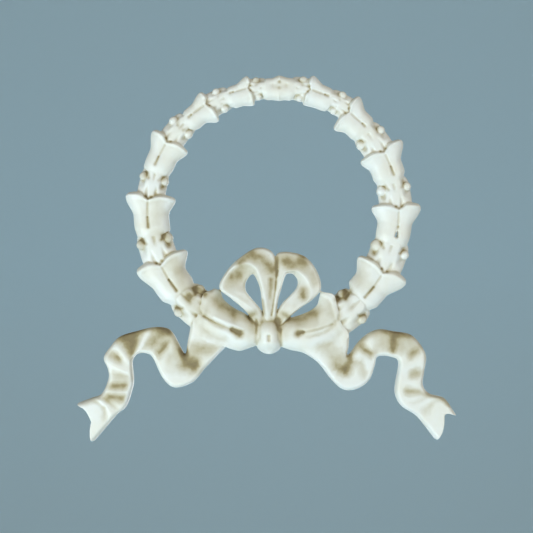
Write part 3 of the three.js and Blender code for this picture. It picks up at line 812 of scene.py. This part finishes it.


def tail(rungs, folds, edges, fork):
    last = len(rungs) - 1
    where, root, curves, bulge = fork["where"], np.array(fork["root"]), fork["curves"], fork["bulge"]
    outward = np.array(rungs[-1][:2]) + rungs[-1][2:] - rungs[-2][:2] - rungs[-2][2:]
    outward /= np.linalg.norm(outward)

    def shift(u, t):
        upper = t < where
        away = np.where(upper, (where - t) / (1 + where), (t - where) / (1 - where))
        notch = np.where(upper, 1 - away ** curves[0], (1 - away) ** curves[1])
        tip = PRONG_ROUND * round_over(1 - np.abs(t), PRONG_CORNER)
        tip -= bulge * np.where(upper, 0, np.sin(np.pi * away))
        ended = step(u * last, last - FORK_RUNGS, last)
        return (notch * ended)[..., None] * root - (tip * ended)[..., None] * outward

    def inward(u, t):
        return (1 - np.abs(t)) * half_width(rungs, u) / BEVEL

    def felt(u, t, column):
        walked = middle_length(rungs, u)
        total = 0
        for fold in folds:
            at, lean, half, across, spread = fold[:5]
            along = bump(walked - at - lean * t, half)
            total = total + fold[column] * along * np.exp(-(((t - across) / spread) ** 4))
        return total

    def height(u, t):
        bevelled = mix(TAIL_CROWN, TAIL_EDGE, round_over(inward(u, t), 1))
        return bevelled - felt(u, t, FOLD_DEPTH) * step(inward(u, t), *FOLD_REACH)

    def stain(u, t):
        walked = middle_length(rungs, u)
        edge = 0
        for start, end, amount in edges:
            entered = step(walked, start - EDGE_SHADE_FADE, start + EDGE_SHADE_FADE)
            edge = edge + amount * entered * (1 - step(walked, end - EDGE_SHADE_FADE, end + EDGE_SHADE_FADE))
        # painted shade: only the upper edge's bevel, which faces away from the lamp, is darkened, and the
        # folds' stain runs over it there
        border = (1 - step(inward(u, t), *EDGE_SHADE_BAND)) * (t < 0)
        reach = np.where(t < 0, 1, step(inward(u, t), *FOLD_STAIN_REACH))
        return felt(u, t, FOLD_WASH) * reach + edge * border

    lump(TAIL_GRID, between(rungs, shift), height, stain)


tail(LEFT_TAIL, LEFT_FOLDS, LEFT_EDGE_SHADE_AND_WASH, LEFT_FORK)
tail(RIGHT_TAIL, RIGHT_FOLDS, RIGHT_EDGE_SHADE_AND_WASH, RIGHT_FORK)
print("lumps in all:", len(lumps))

# %% [markdown]
# ## Fusing the lumps
# The casting has no seams, so the lumps are melted into one skin. A chain of boolean unions could do it, but
# with this many rounded pieces it often fails. A voxel remesh is safer: it fills the lumps with small cubes
# and draws one smooth surface round them all.

# %% Fuse them
VOXEL = 0.34  # mm, the side of the small cubes
SOFTENED = (0.5, 5)  # how strongly and how often the skin is evened out afterwards


def mesh_object(name, points, faces):
    mesh = bpy.data.meshes.new(name)
    mesh.from_pydata(points.tolist(), [], faces.tolist())
    thing = bpy.data.objects.new(name, mesh)
    bpy.context.scene.collection.objects.link(thing)
    return thing


def join_lumps(parts):
    offsets = np.cumsum([0] + [len(part[0]) for part in parts[:-1]])
    points = np.concatenate([part[0] for part in parts])
    faces = np.concatenate([part[1] + offset for part, offset in zip(parts, offsets)])
    return points, faces


def apply_modifiers(thing):
    bpy.context.view_layer.objects.active = thing
    for modifier in list(thing.modifiers):
        bpy.ops.object.modifier_apply(modifier=modifier.name)


points, faces = join_lumps(lumps)
onlay = mesh_object("wreath_and_bow_casting", points * MM, faces)
melt = onlay.modifiers.new("melt", "REMESH")
melt.mode = "VOXEL"
melt.voxel_size = VOXEL * MM
melt.adaptivity = 0
soften = onlay.modifiers.new("soften", "SMOOTH")
soften.factor, soften.iterations = SOFTENED
apply_modifiers(onlay)
print("skin:", len(onlay.data.vertices), "points")

# %% [markdown]
# ## Fine carving
# The pockets, the grooves between petals and the pits beside the berries are finer than the lumps' own
# grids. Thin solids could be cut away there, but that leaves hard rims. So they are pressed into the fused
# skin from the front, as a steel point is pressed into plaster.

# %% Strokes of the carving tool
# Each stroke is a path on the ground, with its half width, its depth, and how much wash it holds, which in
# some strokes is painted shade. Two half widths are those at its start and its end.
THROUGH = 5.0  # a stroke deeper than this goes right through
SHORTEST = 1e-9  # keeps a stroke that is only one point from a division by nothing
strokes = []


def stroke(path, half, depth, wash_and_shade=0.0):
    strokes.append((np.asarray(path, dtype=float), half, depth, wash_and_shade))


def weight(spots, path, half):
    """How strongly a stroke is felt at each spot, 1 on its own line."""
    best = np.zeros(len(spots))
    widths = np.linspace(*half, len(path)) if isinstance(half, tuple) else np.full(len(path), half)
    for start, end, first, last in zip(path[:-1], path[1:], widths[:-1], widths[1:]):
        run = end - start
        share = np.clip((spots - start) @ run / max(run @ run, SHORTEST), 0, 1)
        away = np.linalg.norm(spots - start - share[:, None] * run, axis=1)
        best = np.maximum(best, np.exp(-((away / mix(first, last, share)) ** 2)))
    return best


edge_weight = weight(np.array([[0.0, 1.0]]), np.array([[0.0, 0.0], [1.0, 0.0]]), 1.0)[0]
print("at its half width a stroke is felt", round(float(edge_weight), 2), "as strongly as on its line")

# %% [markdown]
# ## Strokes on the ring
# On the real piece each husk has a pocket behind its groove and two small pits in its mouth, and the berries
# sit in hollows, where a lot of the wash stayed. Each could be placed by hand, but they follow from where
# the husks and the berries already are.

# %% Sizes of the strokes on the ring
# Each is a half width, or one at both ends, then the depth, then the wash
SLOT_FROM = 0.24  # the pocket's round end, as a share of the way from root to mouth
SLOT = ((1.0, 0.6), 0.7, 0.32)
PIERCED = (1, 1)  # this side's second husk is pierced right through
HOLE_SHARE = 0.4  # over this share of its pocket
HOLE = ((0.62, 0.4), 9.0)
GROOVE_TO = 0.93  # the groove's end, as a share of the way from root to mouth
GROOVE = ((0.5, 0.7), 0.35, 0.06)
# In radii of a berry: how far ahead of it its hollow starts, and how far beside it the hollow starts and ends
HOLLOW_PLACE = (0.8, 0.5, 1.1)
HOLLOW = ((1.5, 1.0), 0.5)
HOLLOW_WASH = (0.46, 0.12)  # beside each berry, from the bow to the top
BELOW_AT = 1.6  # behind an inner berry's middle, in its radii
BELOW = (1.5, 0.4)
BELOW_WASH = (0.46, 0.12)  # below each inner berry, from the bow to the top
PIT_AT = 0.965  # small pits lie in the mouth, on both sides of the groove
PIT_AWAY = 1.5  # from the groove
PIT_HALF = 0.9
PIT_DEPTHS = (0.6, 0.1)  # in a free mouth, and where the two top husks meet
PIT_WASH = 0.42

# %% Strokes on the ring
for side, side_widths, berries in ((-1, LEFT_WIDTHS, LEFT_BERRIES), (1, RIGHT_WIDTHS, RIGHT_BERRIES)):
    for index, ((mouth, root, crown, slot), widths, beads) in enumerate(zip(HUSKS, side_widths, berries)):
        reach = RING_RADIUS + widths[6]
        upward = index / (len(HUSKS) - 1)
        end = mix(root, mouth, SLOT_FROM)
        head, tip = on_ring(end, side, reach), on_ring(end - arc_degrees(slot), side, reach)
        if slot > 0:
            stroke((head, tip), *SLOT)
            if (side, index) == PIERCED:
                stroke((head, mix(np.array(head), np.array(tip), HOLE_SHARE)), *HOLE)
            stroke((tip, on_ring(mix(root, mouth, GROOVE_TO), side, reach)), *GROOVE)
        for bead, radius in (beads[:2], beads[2:]):
            inward = -radius if bead > 0 else radius
            ahead = root + arc_degrees(BERRY_BACK - HOLLOW_PLACE[0] * radius)
            level = root + arc_degrees(BERRY_BACK)
            hollow = on_ring(ahead, side, RING_RADIUS + bead + HOLLOW_PLACE[1] * inward)
            beside = on_ring(level, side, RING_RADIUS + bead + HOLLOW_PLACE[2] * inward)
            stroke((hollow, beside), *HOLLOW, mix(*HOLLOW_WASH, upward))
        behind = root + arc_degrees(BERRY_BACK + BELOW_AT * beads[3])
        below = on_ring(behind, side, RING_RADIUS + beads[2])
        stroke((below, below), *BELOW, mix(*BELOW_WASH, upward))
        for away in (-PIT_AWAY, PIT_AWAY):
            pit = on_ring(mix(root, mouth, PIT_AT), side, reach + away)
            stroke((pit, pit), PIT_HALF, PIT_DEPTHS[0] if mouth > 0 else PIT_DEPTHS[1], PIT_WASH)
print("strokes on the ring:", len(strokes))

# %% [markdown]
# ## Strokes on the bow
# The ribbon's dips and the dark places between its folds are the hollows of the real bow, and the wash
# stayed there; a few strokes are painted shade instead, on the knot's right side and at the top of the right
# loop.
# They could come from a rule, as those of the ring do, but here no two are alike. So a table lists them one
# by one.

# %% Strokes on the bow
# Dips, stains and painted shade of the loops, the husks beside the knot and the knot: path, half width, depth
# (a raised place is negative) and wash, which in a few rows is painted shade
BOW_MARKS_AND_SHADE = [
    ([(-17.8, 30.0), (-15.6, 31.2)], 2.8, 0.2, 0.20),
    ([(-18.5, 28.0), (-13.0, 33.0)], 5.0, 0.2, 0.24),
    ([(-10.8, 26.0), (-8.2, 29.8)], 1.5, 0.2, 0.32),
    ([(-6.4, 40.4), (-2.8, 39.0)], 3.2, 0.1, 0.66),
    ([(-14.4, 37.0), (-9.4, 41.8)], 2.0, 0.1, 0.60),
    ([(0.2, 35.2), (0.6, 34.2)], 3.0, 0.3, 0.42),
    ([(0.9, 28.5), (0.7, 20.0)], 1.3, 0.15, 0.36),
    ([(4.2, 33.0), (3.5, 25.0), (2.2, 15.0), (1.6, 11.0)], 0.55, 0.4, 0.22),
    ([(4.2, 40.0), (4.2, 31.0)], 0.9, 0.2, 0.40),
    # painted shade: the left part of the right loop's top, beside the other loop
    ([(5.4, 38.6), (7.4, 37.6)], 2.4, 0.1, 0.48),
    ([(-3.2, 18.5), (-2.4, 12.0)], 0.9, 0.4, 0.40),
    ([(10.0, 38.6), (11.4, 36.0)], 3.2, 0.1, 0.62),
    ([(16.6, 38.2), (18.0, 36.4)], 3.2, 0.1, 0.80),
    ([(22.0, 31.6), (23.4, 28.0)], 2.6, 0.1, 0.36),
    ([(17.2, 23.4), (17.4, 20.6)], 2.2, 0.3, 0.58),
    ([(4.8, 16.0), (4.2, 13.0)], 0.8, 0.3, 0.34),
    ([(-14.4, 2.0), (-17.8, 3.8)], (2.4, 1.5), 1.1, 0.60),
    ([(-13.0, 4.2), (-18.6, 6.6), (-26.8, 10.0)], 0.8, -0.3, -0.1),
    ([(-18.4, 4.0), (-27.8, 8.0), (-32.5, 10.5)], (0.8, 0.7), 0.35, 0.12),
    ([(-30.0, 21.5), (-24.0, 16.5), (-17.0, 12.0), (-12.0, 10.0)], 2.6, 0.1, 0.30),
    ([(10.7, 9.0), (18.0, 10.4), (24.0, 13.0)], 2.4, 0.1, 0.30),
    ([(14.8, 1.9), (16.8, 2.4)], (1.9, 1.3), 1.0, 0.50),
    ([(17.8, 2.6), (24.8, 4.0), (31.8, 6.6)], (0.6, 0.7), 0.3, 0.12),
    ([(-6.2, 9.0), (-6.0, 4.0), (-6.6, -2.5)], 0.9, 0.3, 0.20),
    # painted shade: the dark top right of the knot
    ([(4.6, 8.2), (5.0, 4.4)], 1.8, 0.2, 0.56),
    ([(-9.4, 10.6), (-6.8, 12.2)], 1.8, 0.2, 0.34),
    ([(-8.8, 9.5), (-7.4, 4.0)], 2.4, 0.2, 0.26),
    ([(6.8, 12.2), (9.4, 10.4)], 1.8, 0.2, 0.34),
    ([(-38.0, 15.0), (-35.0, 10.0)], 3.6, 0.1, 0.24),
    ([(-35.6, 24.4), (-32.6, 22.6)], 1.8, 0.1, 0.36),
    ([(-39.6, 20.8), (-38.6, 20.0)], 1.8, 0.4, 0.48),
    ([(-30.0, 24.0), (-28.5, 23.0)], 1.2, 0.2, 0.36),
    ([(38.0, 23.4), (38.8, 21.6)], 1.4, 0.3, 0.44),
    # painted shade in the crease along the knot's right side
    ([(6.2, 3.5), (6.6, -4.5)], 0.8, 0.3, 0.18),
    ([(0.2, 1.0), (0.2, -2.0)], 2.1, -0.35, -0.1),
    ([(0.2, 0.5), (0.2, -1.4)], 1.1, 1.0, 0.14),
    ([(-4.0, 7.6), (3.0, 7.8)], 1.8, 0.2, 0.18),
    ([(-40.8, -13.8), (-36.6, -15.2)], 4.6, 1.0, 0.56),
    ([(-41.5, -8.5), (-36.5, -11.0)], 3.2, 0.3, 0.24),
    ([(41.4, -12.5), (39.0, -16.2)], 3.8, 0.9, 0.36),
    ([(33.5, -14.6), (37.5, -16.6)], 3.6, 0.3, 0.26),
    ([(29.0, -6.0), (38.5, -10.5)], 4.4, 0.2, 0.24),
]
for path, half, depth, wash_and_shade in BOW_MARKS_AND_SHADE:
    stroke(path, half, depth, wash_and_shade)
print("strokes on the bow:", len(BOW_MARKS_AND_SHADE))

# %% [markdown]
# ## Thin stains and painted shade
# Whole forms and a few small spots are made a little darker than others: some as a thin wash, some as painted
# shade, such as on the outer side of the ring's lowest husk on the right. These could be painted on the
# finished mesh, but as strokes without depth they stay a short list that is easy to change.

# %% Thin stains and painted shade
# Path, half width and wash
THIN_STAINS_AND_SHADE = [
    ([(-9.0, 33.0), (13.0, 32.0)], 15.0, 0.18),
    ([(-24.0, 10.0), (24.0, 10.0)], 13.0, 0.30),
    ([(-47.0, 36.0), (-40.0, 22.0)], 5.0, 0.42),
    ([(-56.0, 70.0), (-54.5, 50.0)], 4.5, 0.25),
    ([(-67.4, -11.5), (-67.2, -16.0), (-67.0, -21.0)], 1.8, 0.48),
    ([(-47.5, -8.0), (-46.0, -3.0)], 3.0, 0.18),
    ([(-75.0, -22.0), (-74.0, -31.0)], 4.5, 0.12),
    ([(-62.5, 32.5), (-60.5, 30.5)], 2.6, 0.16),
    ([(-33.5, 17.0), (-32.0, 12.0)], 2.6, 0.20),
    ([(39.0, 19.5), (40.5, 14.0)], 3.0, 0.22),
    ([(-8.6, 3.0), (-8.2, -1.5)], 2.6, 0.16),
    ([(7.4, 5.0), (7.2, -1.0)], 2.4, 0.18),
    ([(3.4, 35.0), (3.0, 26.0)], 2.0, 0.20),
    ([(-7.5, 43.6), (-3.0, 44.6), (1.0, 43.4)], 1.2, 0.30),
    ([(5.0, 41.6), (11.0, 42.6), (18.0, 40.2)], 1.2, 0.28),
    ([(31.0, 14.0), (35.0, 8.0)], 4.0, 0.16),
    # painted shade: the outer side of the ring's lowest husk on the right
    ([(50.5, 46.0), (42.0, 24.0)], 4.5, 0.24),
    ([(-44.8, 12.5), (-44.8, 12.5)], 2.4, 0.28),
    ([(-34.2, 23.6), (-34.2, 23.6)], 2.4, 0.26),
    ([(-63.8, 46.0), (-63.8, 46.0)], 2.4, 0.40),
    ([(-50.8, 49.4), (-50.8, 49.4)], 2.6, 0.44),
    ([(-62.2, 80.4), (-62.2, 80.4)], 2.4, 0.30),
    ([(-52.2, 77.6), (-52.2, 77.6)], 2.2, 0.20),
    ([(-43.8, 104.8), (-43.8, 104.8)], 2.2, 0.30),
    ([(-37.9, 114.3), (-36.0, 115.6)], 2.8, 0.18),
    ([(-6.2, 128.4), (-6.2, 128.4)], 2.2, 0.40),
    ([(17.2, 128.4), (17.2, 128.4)], 2.2, 0.30),
    ([(46.8, 9.0), (46.8, 9.0)], 2.6, 0.34),
    ([(36.8, 21.0), (36.8, 21.0)], 2.6, 0.52),
    ([(54.5, 22.8), (48.2, 27.6)], 5.0, 0.17),
    ([(-62.0, 80.0), (-62.0, 45.0), (-46.0, 20.0)], 10.0, 0.06),
    ([(-40.0, -14.0), (-60.0, -2.0), (-75.0, -10.0), (-75.0, -32.0), (-86.0, -42.0)], 9.0, 0.08),
]
for path, half, wash_and_shade in THIN_STAINS_AND_SHADE:
    stroke(path, half, 0.0, wash_and_shade)
print("strokes in all:", len(strokes))

# %% [markdown]
# ## Rubbed joins
# Where one form runs out into another the carver rubbed the join away. A smoothing brush would do that by
# hand. Here the skin's heights are evened out along a few paths, which gives the same result each time.

# %% Where the joins are rubbed
# Path and half width
RUBBED = [
    ([(-36.0, 2.4), (-29.0, -1.0), (-22.0, -4.6), (-17.0, -5.5)], 4.2),
    ([(40.0, 2.0), (34.0, -4.5), (28.0, -7.0), (20.0, -7.5)], 5.5),
    ([(-4.5, 9.5), (4.5, 9.5)], 2.2),
    ([(5.7, 128.0), (5.7, 120.0)], 2.0),
]
print("rubbed joins:", len(RUBBED))

# %% Read, move and even out the skin's points
def points_of(thing):
    flat = np.empty(len(thing.data.vertices) * 3)
    thing.data.vertices.foreach_get("co", flat)
    return flat.reshape(-1, 3) / MM


def put_points(thing, points):
    thing.data.vertices.foreach_set("co", (points * MM).ravel())
    thing.data.update()


def neighbours(thing):
    """Both ends of every edge, each way round."""
    edges = np.empty(len(thing.data.edges) * 2, dtype=int)
    thing.data.edges.foreach_get("vertices", edges)
    edges = edges.reshape(-1, 2)
    return np.concatenate([edges[:, 0], edges[:, 1]]), np.concatenate([edges[:, 1], edges[:, 0]])


def averaged(values, links, rounds):
    """In each round every value moves halfway towards its neighbours' mean."""
    start, end = links
    count = np.bincount(start, minlength=len(values))[:, None]
    for _ in range(rounds):
        total = np.stack([np.bincount(start, column[end], len(values)) for column in values.T], axis=1)
        values = 0.5 * values + 0.5 * total / np.maximum(count, 1)
    return values


skin = points_of(onlay)
print("the skin stands", round(-float(skin[:, 1].min()), 1), "mm high before carving")

# %% Rub the joins
THINNEST = 0.8  # carving leaves at least this much above the back, unless it goes right through
RUB_ROUNDS = 60
rubbed = averaged(skin[:, 1:2], neighbours(onlay), RUB_ROUNDS)[:, 0]
share = np.max([weight(skin[:, [0, 2]], np.asarray(path), half) for path, half in RUBBED], axis=0)
skin[:, 1] = mix(skin[:, 1], rubbed, share * (skin[:, 1] < -2 * THINNEST))
print("points rubbed by half or more:", int((share > 0.5).sum()))

# %% Press the strokes in
KEPT_APART = 0.1  # points pressed down to the thinnest keep this share of their own heights above it
front = skin[:, 1] < -THINNEST
depths = skin[front, 1]
for path, half, depth, _ in strokes:
    if depth != 0:
        sunk = depths + depth * weight(skin[front][:, [0, 2]], path, half)
        limit = np.maximum(depths, mix(-THINNEST, depths, KEPT_APART))
        depths = sunk if depth > THROUGH else np.minimum(sunk, limit)
print("the deepest stroke takes off", round(float((depths - skin[front, 1]).max()), 1), "mm")
skin[front, 1] = depths

# %% The unevenness of handwork
HANDWORK = ((6.0, 0.13), (2.2, 0.05))  # sizes of the slight unevenness everywhere, and their heights
spots = [Vector(spot) for spot in skin[front].tolist()]
for size, amount in HANDWORK:
    unevenness = [noise.noise(spot / size) for spot in spots]
    skin[front, 1] += amount * np.array(unevenness)
put_points(onlay, skin)
print("points made uneven:", len(spots))

# %% [markdown]
# ## The flat back
# The mould was open, so the back is one flat face. A big block could be subtracted to make it. Cutting the
# skin with a plane and filling the cut is simpler, and it needs no second body.

# %% Cut the back flat
ON_THE_PLANE = 1e-7  # metres from the cut within which a point counts as lying on it


def cut_back(thing):
    work = bmesh.new()
    work.from_mesh(thing.data)
    everything = work.verts[:] + work.edges[:] + work.faces[:]
    cut = bmesh.ops.bisect_plane(
        work, geom=everything, dist=ON_THE_PLANE, plane_co=(0, 0, 0), plane_no=(0, 1, 0), clear_outer=True
    )
    rim = [piece for piece in cut["geom_cut"] if isinstance(piece, bmesh.types.BMEdge)]
    bmesh.ops.triangle_fill(work, use_beauty=True, use_dissolve=False, edges=rim)
    bmesh.ops.recalc_face_normals(work, faces=work.faces)
    work.to_mesh(thing.data)
    work.free()


cut_back(onlay)
print("points left after the cut:", len(onlay.data.vertices))

# %% Thin the mesh out
TRIANGLES = 190000
FACES_BACK = 0.99  # faces whose normals point back more than this belong to the flat back
count = sum(len(face.vertices) - 2 for face in onlay.data.polygons)
print("triangles after the cut:", count)
if count > TRIANGLES:
    thin = onlay.modifiers.new("thin", "DECIMATE")
    thin.ratio = TRIANGLES / count
    apply_modifiers(onlay)
for face in onlay.data.polygons:
    face.use_smooth = face.normal.y < FACES_BACK
print("casting:", sum(len(face.vertices) - 2 for face in onlay.data.polygons), "triangles")

# %% [markdown]
# ## Where the wash stayed
# The tan wash was brushed on and wiped off, so it stays where a cloth doesn't reach. Those places are hollow
# at one scale or another: a groove is hollow within a millimetre, a fold within five. A shader can darken
# corners by itself, but only at one scale and not in every renderer. So the skin is smoothed further and
# further, and where it rises above its own first shape there is a hollow.

# %% Measure the hollows
HOLLOW_SCALES = ((6, 1.1), (30, 0.6), (140, 0.3))  # rounds of smoothing, and how much each scale counts
FULL_HOLLOW = 0.28  # a hollow this deep holds all the wash it can
WIPED = -0.13  # and an edge this sharp was wiped clean
skin = points_of(onlay)
normals = np.empty(len(skin) * 3)
onlay.data.vertices.foreach_get("normal", normals)
normals = normals.reshape(-1, 3)
links = neighbours(onlay)
wash_and_shade = np.zeros(len(skin))
smoothed = skin
for rounds, amount in HOLLOW_SCALES:
    smoothed = averaged(smoothed, links, rounds)
    hollow = ((smoothed - skin) * normals).sum(axis=1)
    wash_and_shade += amount * np.clip(hollow, WIPED, FULL_HOLLOW)
print("hollows alone give a wash of", round(float(wash_and_shade.mean()), 3), "on average")

# %% Add the foot's wash and painted shade, and the strokes' stains and painted shade
FOOT = (-2.4, -0.4)  # the steep sides are darkened from the first of these depths down, fully at the second, partly as wash pooled at the foot and partly as painted shade on the walls
FOOT_WASH_AND_SHADE = 0.25
wash_and_shade += FOOT_WASH_AND_SHADE * step(skin[:, 1], *FOOT)
for path, half, _, amount in strokes:
    wash_and_shade += amount * weight(skin[:, [0, 2]], path, half)
print("with those it is", round(float(wash_and_shade.mean()), 3))

# %% Add the lumps' own stains and painted shade, and store the wash with its painted shade
BACKWARD = 0.6  # places that face back more than this are left white
EVEN_ROUNDS = 2
tree = KDTree(sum(len(part[2]) for part in lumps))
authored = []
for part in lumps:
    for spot in part[2].tolist():
        tree.insert(spot, len(authored))
        authored.append(0.0)
    authored[-len(part[2]) :] = part[3].tolist()
tree.balance()
wash_and_shade += np.array([authored[tree.find(spot)[1]] for spot in skin.tolist()])
wash_and_shade *= normals[:, 1] < BACKWARD
wash_and_shade = averaged(wash_and_shade[:, None], links, EVEN_ROUNDS)[:, 0]
stain = onlay.data.attributes.new("wash_and_shade", "FLOAT", "POINT")
stain.data.foreach_set("value", np.clip(wash_and_shade, 0, 1).astype(np.float32))
print("wash from", round(float(wash_and_shade.min()), 2), "to", round(float(wash_and_shade.max()), 2))

# %% [markdown]
# ## The finish
# The resin is an ivory white with a satin skin. The wash is a thin tan, darker and duller where it lies
# thick. The same tan also stands for painted shade at the foot of the steep sides, on the tails' upper edges
# and in some strokes. It could be painted as a picture and wrapped round the mesh. Here its amount comes from
# the hollows just measured, broken up by a soft noise as a wiped surface is, so it fits however the forms are
# changed.

# %% Nodes that the finish is made of
def add_noise(tree, place, scale, detail):
    """A noise in the object's own coordinates."""
    node = tree.nodes.new("ShaderNodeTexNoise")
    node.inputs["Scale"].default_value = scale
    node.inputs["Detail"].default_value = detail
    tree.links.new(place, node.inputs["Vector"])
    return node.outputs["Fac"]


def add_range(tree, value, before, after):
    """Carries a value over from one range to another."""
    node = tree.nodes.new("ShaderNodeMapRange")
    for name, number in zip(("From Min", "From Max", "To Min", "To Max"), before + after):
        node.inputs[name].default_value = number
    tree.links.new(value, node.inputs["Value"])
    return node.outputs["Result"]


def add_ramp(tree, value, low, high):
    """Turns a value into a colour. Low and high are each a place on the ramp and its colour."""
    node = tree.nodes.new("ShaderNodeValToRGB")
    for element, (position, colour) in zip(list(node.color_ramp.elements), (low, high)):
        element.position = position
        element.color = colour
    tree.links.new(value, node.inputs["Fac"])
    return node.outputs["Color"]


# %% The cast resin's colours and numbers
IVORY = (0.86, 0.865, 0.82, 1)
CREAM = (0.84, 0.81, 0.70, 1)
TAN = (0.44, 0.36, 0.18, 1)
DEEP = (0.24, 0.185, 0.09, 1)
BODY_RAMP = ((0.35, IVORY), (0.75, CREAM))
WASH_RAMP = ((0.6, TAN), (1.0, DEEP))
COVERED = (0.07, 0.80)  # from no wash to be seen up to a full cover
ROUGHNESS = (0.42, 0.72)  # bare, and under a full wash
# Each noise has a scale, which is about the number of its patches in a metre, and a detail
PATCHES = (260, 5)
CLOUDS = (70, 3)
GRAIN = (900, 3)
BROKEN = ((0.3, 0.7), (0.9, 1.08))  # how the patches scale the wash
SPREAD = 0.12  # how much wash the patches add everywhere
GRAIN_RELIEF = (0.12, 0.0002)  # strength, and height in metres
INDEX = 1.5  # how strongly the resin bends light
UNDER_SKIN = 0.06  # how much light passes under the surface
UNDER_SKIN_RADIUS = (1.0, 0.8, 0.6)
UNDER_SKIN_DEPTH = 0.0012
print("the wash dulls the skin from a roughness of", ROUGHNESS[0], "to", ROUGHNESS[1])


# %% The cast resin's material
def held_wash_and_shade(tree, place):
    """The wash and painted shade attribute, broken up by soft patches."""
    hollows = tree.nodes.new("ShaderNodeAttribute")
    hollows.attribute_name = "wash_and_shade"
    patches = add_noise(tree, place, *PATCHES)
    held = tree.nodes.new("ShaderNodeMath")
    held.operation = "MULTIPLY"
    tree.links.new(hollows.outputs["Fac"], held.inputs[0])
    tree.links.new(add_range(tree, patches, *BROKEN), held.inputs[1])
    uneven = tree.nodes.new("ShaderNodeMath")
    uneven.operation = "MULTIPLY_ADD"
    uneven.inputs[1].default_value = SPREAD
    tree.links.new(patches, uneven.inputs[0])
    tree.links.new(held.outputs["Value"], uneven.inputs[2])
    return uneven.outputs["Value"]


def resin_material():
    material = bpy.data.materials.new("cast_resin")
    material.use_nodes = True
    tree = material.node_tree
    shader = tree.nodes["Principled BSDF"]
    shader.inputs["IOR"].default_value = INDEX
    shader.inputs["Subsurface Weight"].default_value = UNDER_SKIN
    shader.inputs["Subsurface Radius"].default_value = UNDER_SKIN_RADIUS
    shader.inputs["Subsurface Scale"].default_value = UNDER_SKIN_DEPTH

    place = tree.nodes.new("ShaderNodeTexCoord").outputs["Object"]
    uneven = held_wash_and_shade(tree, place)
    coloured = tree.nodes.new("ShaderNodeMix")
    coloured.data_type = "RGBA"
    tree.links.new(add_range(tree, uneven, COVERED, (0, 1)), coloured.inputs["Factor"])
    tree.links.new(add_ramp(tree, add_noise(tree, place, *CLOUDS), *BODY_RAMP), coloured.inputs["A"])
    tree.links.new(add_ramp(tree, uneven, *WASH_RAMP), coloured.inputs["B"])
    tree.links.new(coloured.outputs["Result"], shader.inputs["Base Color"])
    tree.links.new(add_range(tree, uneven, (0, 1), ROUGHNESS), shader.inputs["Roughness"])

    relief = tree.nodes.new("ShaderNodeBump")
    relief.inputs["Strength"].default_value, relief.inputs["Distance"].default_value = GRAIN_RELIEF
    tree.links.new(add_noise(tree, place, *GRAIN), relief.inputs["Height"])
    tree.links.new(relief.outputs["Normal"], shader.inputs["Normal"])
    return material


onlay.data.materials.append(resin_material())
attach(onlay, "root")
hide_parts("wreath_and_bow")
print("the casting has the finish", onlay.data.materials[0].name)

# %% [markdown]
# ## The stage
# The ornament is fixed to nothing here, so that every side can be seen. A plain floor far below turns up
# into a plain wall far behind. A coloured background would do for one view, but a bent sheet of paper gives
# the light something to come back from, as it does in a photographer's studio.

# %% Floor and wall
# In metres
FLOOR_DEPTH = 0.75
WALL_BEHIND = 2.2
STAGE_HALF = 4.0
BEND = 0.8
BEND_STEPS = 24
PAPER = (0.60, 0.80, 0.92, 1)
PAPER_ROUGHNESS = 0.9


def stage():
    turn = np.linspace(0, math.pi / 2, BEND_STEPS)
    curve = [(-STAGE_HALF, -FLOOR_DEPTH)]
    curve += [
        (WALL_BEHIND - BEND + BEND * math.sin(a), -FLOOR_DEPTH + BEND - BEND * math.cos(a)) for a in turn
    ]
    curve.append((WALL_BEHIND, 2 * STAGE_HALF))
    points = np.array([(x, y, z) for x in (-STAGE_HALF, STAGE_HALF) for y, z in curve])
    count = len(curve)
    faces = np.array([(k, k + 1, k + 1 + count, k + count) for k in range(count - 1)])
    sweep = mesh_object("stage", points, faces)
    for face in sweep.data.polygons:
        face.use_smooth = True
    paper = bpy.data.materials.new("pale_paper")
    paper.use_nodes = True
    shader = paper.node_tree.nodes["Principled BSDF"]
    shader.inputs["Base Color"].default_value = PAPER
    shader.inputs["Roughness"].default_value = PAPER_ROUGHNESS
    sweep.data.materials.append(paper)


stage()
print("the wall stands", WALL_BEHIND, "m behind and the floor lies", FLOOR_DEPTH, "m below")

# %% [markdown]
# ## The light
# A large soft lamp stands low on the left and makes the lower left edges bright. A broader one stands high
# on the right and keeps the shades there open, and a third lights the back. One bare lamp could be used, but
# its hard shadows would hide the low relief.

# %% Lamps
def lamp(name, place, aim, size, power, colour):
    light = bpy.data.lights.new(name, "AREA")
    light.shape = "DISK"
    light.size = size
    light.energy = power
    light.color = colour
    thing = bpy.data.objects.new(name, light)
    bpy.context.scene.collection.objects.link(thing)
    thing.location = place
    away = thing.location - Vector(aim)
    thing.rotation_euler = away.to_track_quat("Z", "Y").to_euler()


LIT = (0, 0, 0.04)  # the lamps are turned towards this place
# Each lamp's name, its place and width in metres, its power in watts and its colour
LAMPS = [
    ("key", (-0.82, -0.98, -0.50), 0.9, 16.6, (0.88, 1.0, 1.04)),
    ("fill", (0.95, -1.15, 0.55), 1.5, 10.8, (0.98, 1.0, 1.0)),
    ("back", (0.3, 1.4, -0.3), 1.2, 8.0, (1.0, 1.0, 1.0)),
]
for name, place, size, power, colour in LAMPS:
    lamp(name, place, LIT, size, power, colour)
print("lamps:", len(LAMPS), "with", round(sum(row[3] for row in LAMPS)), "W in all")

# %% The room's own light
ROOM_COLOUR = (1.0, 0.94, 0.80, 1)
ROOM_STRENGTH = 0.2
world = bpy.data.worlds.new("room")
world.use_nodes = True
world.node_tree.nodes["Background"].inputs["Color"].default_value = ROOM_COLOUR
world.node_tree.nodes["Background"].inputs["Strength"].default_value = ROOM_STRENGTH
bpy.context.scene.world = world
bpy.context.scene.view_settings.view_transform = "Standard"
print("the room's light has a strength of", ROOM_STRENGTH)
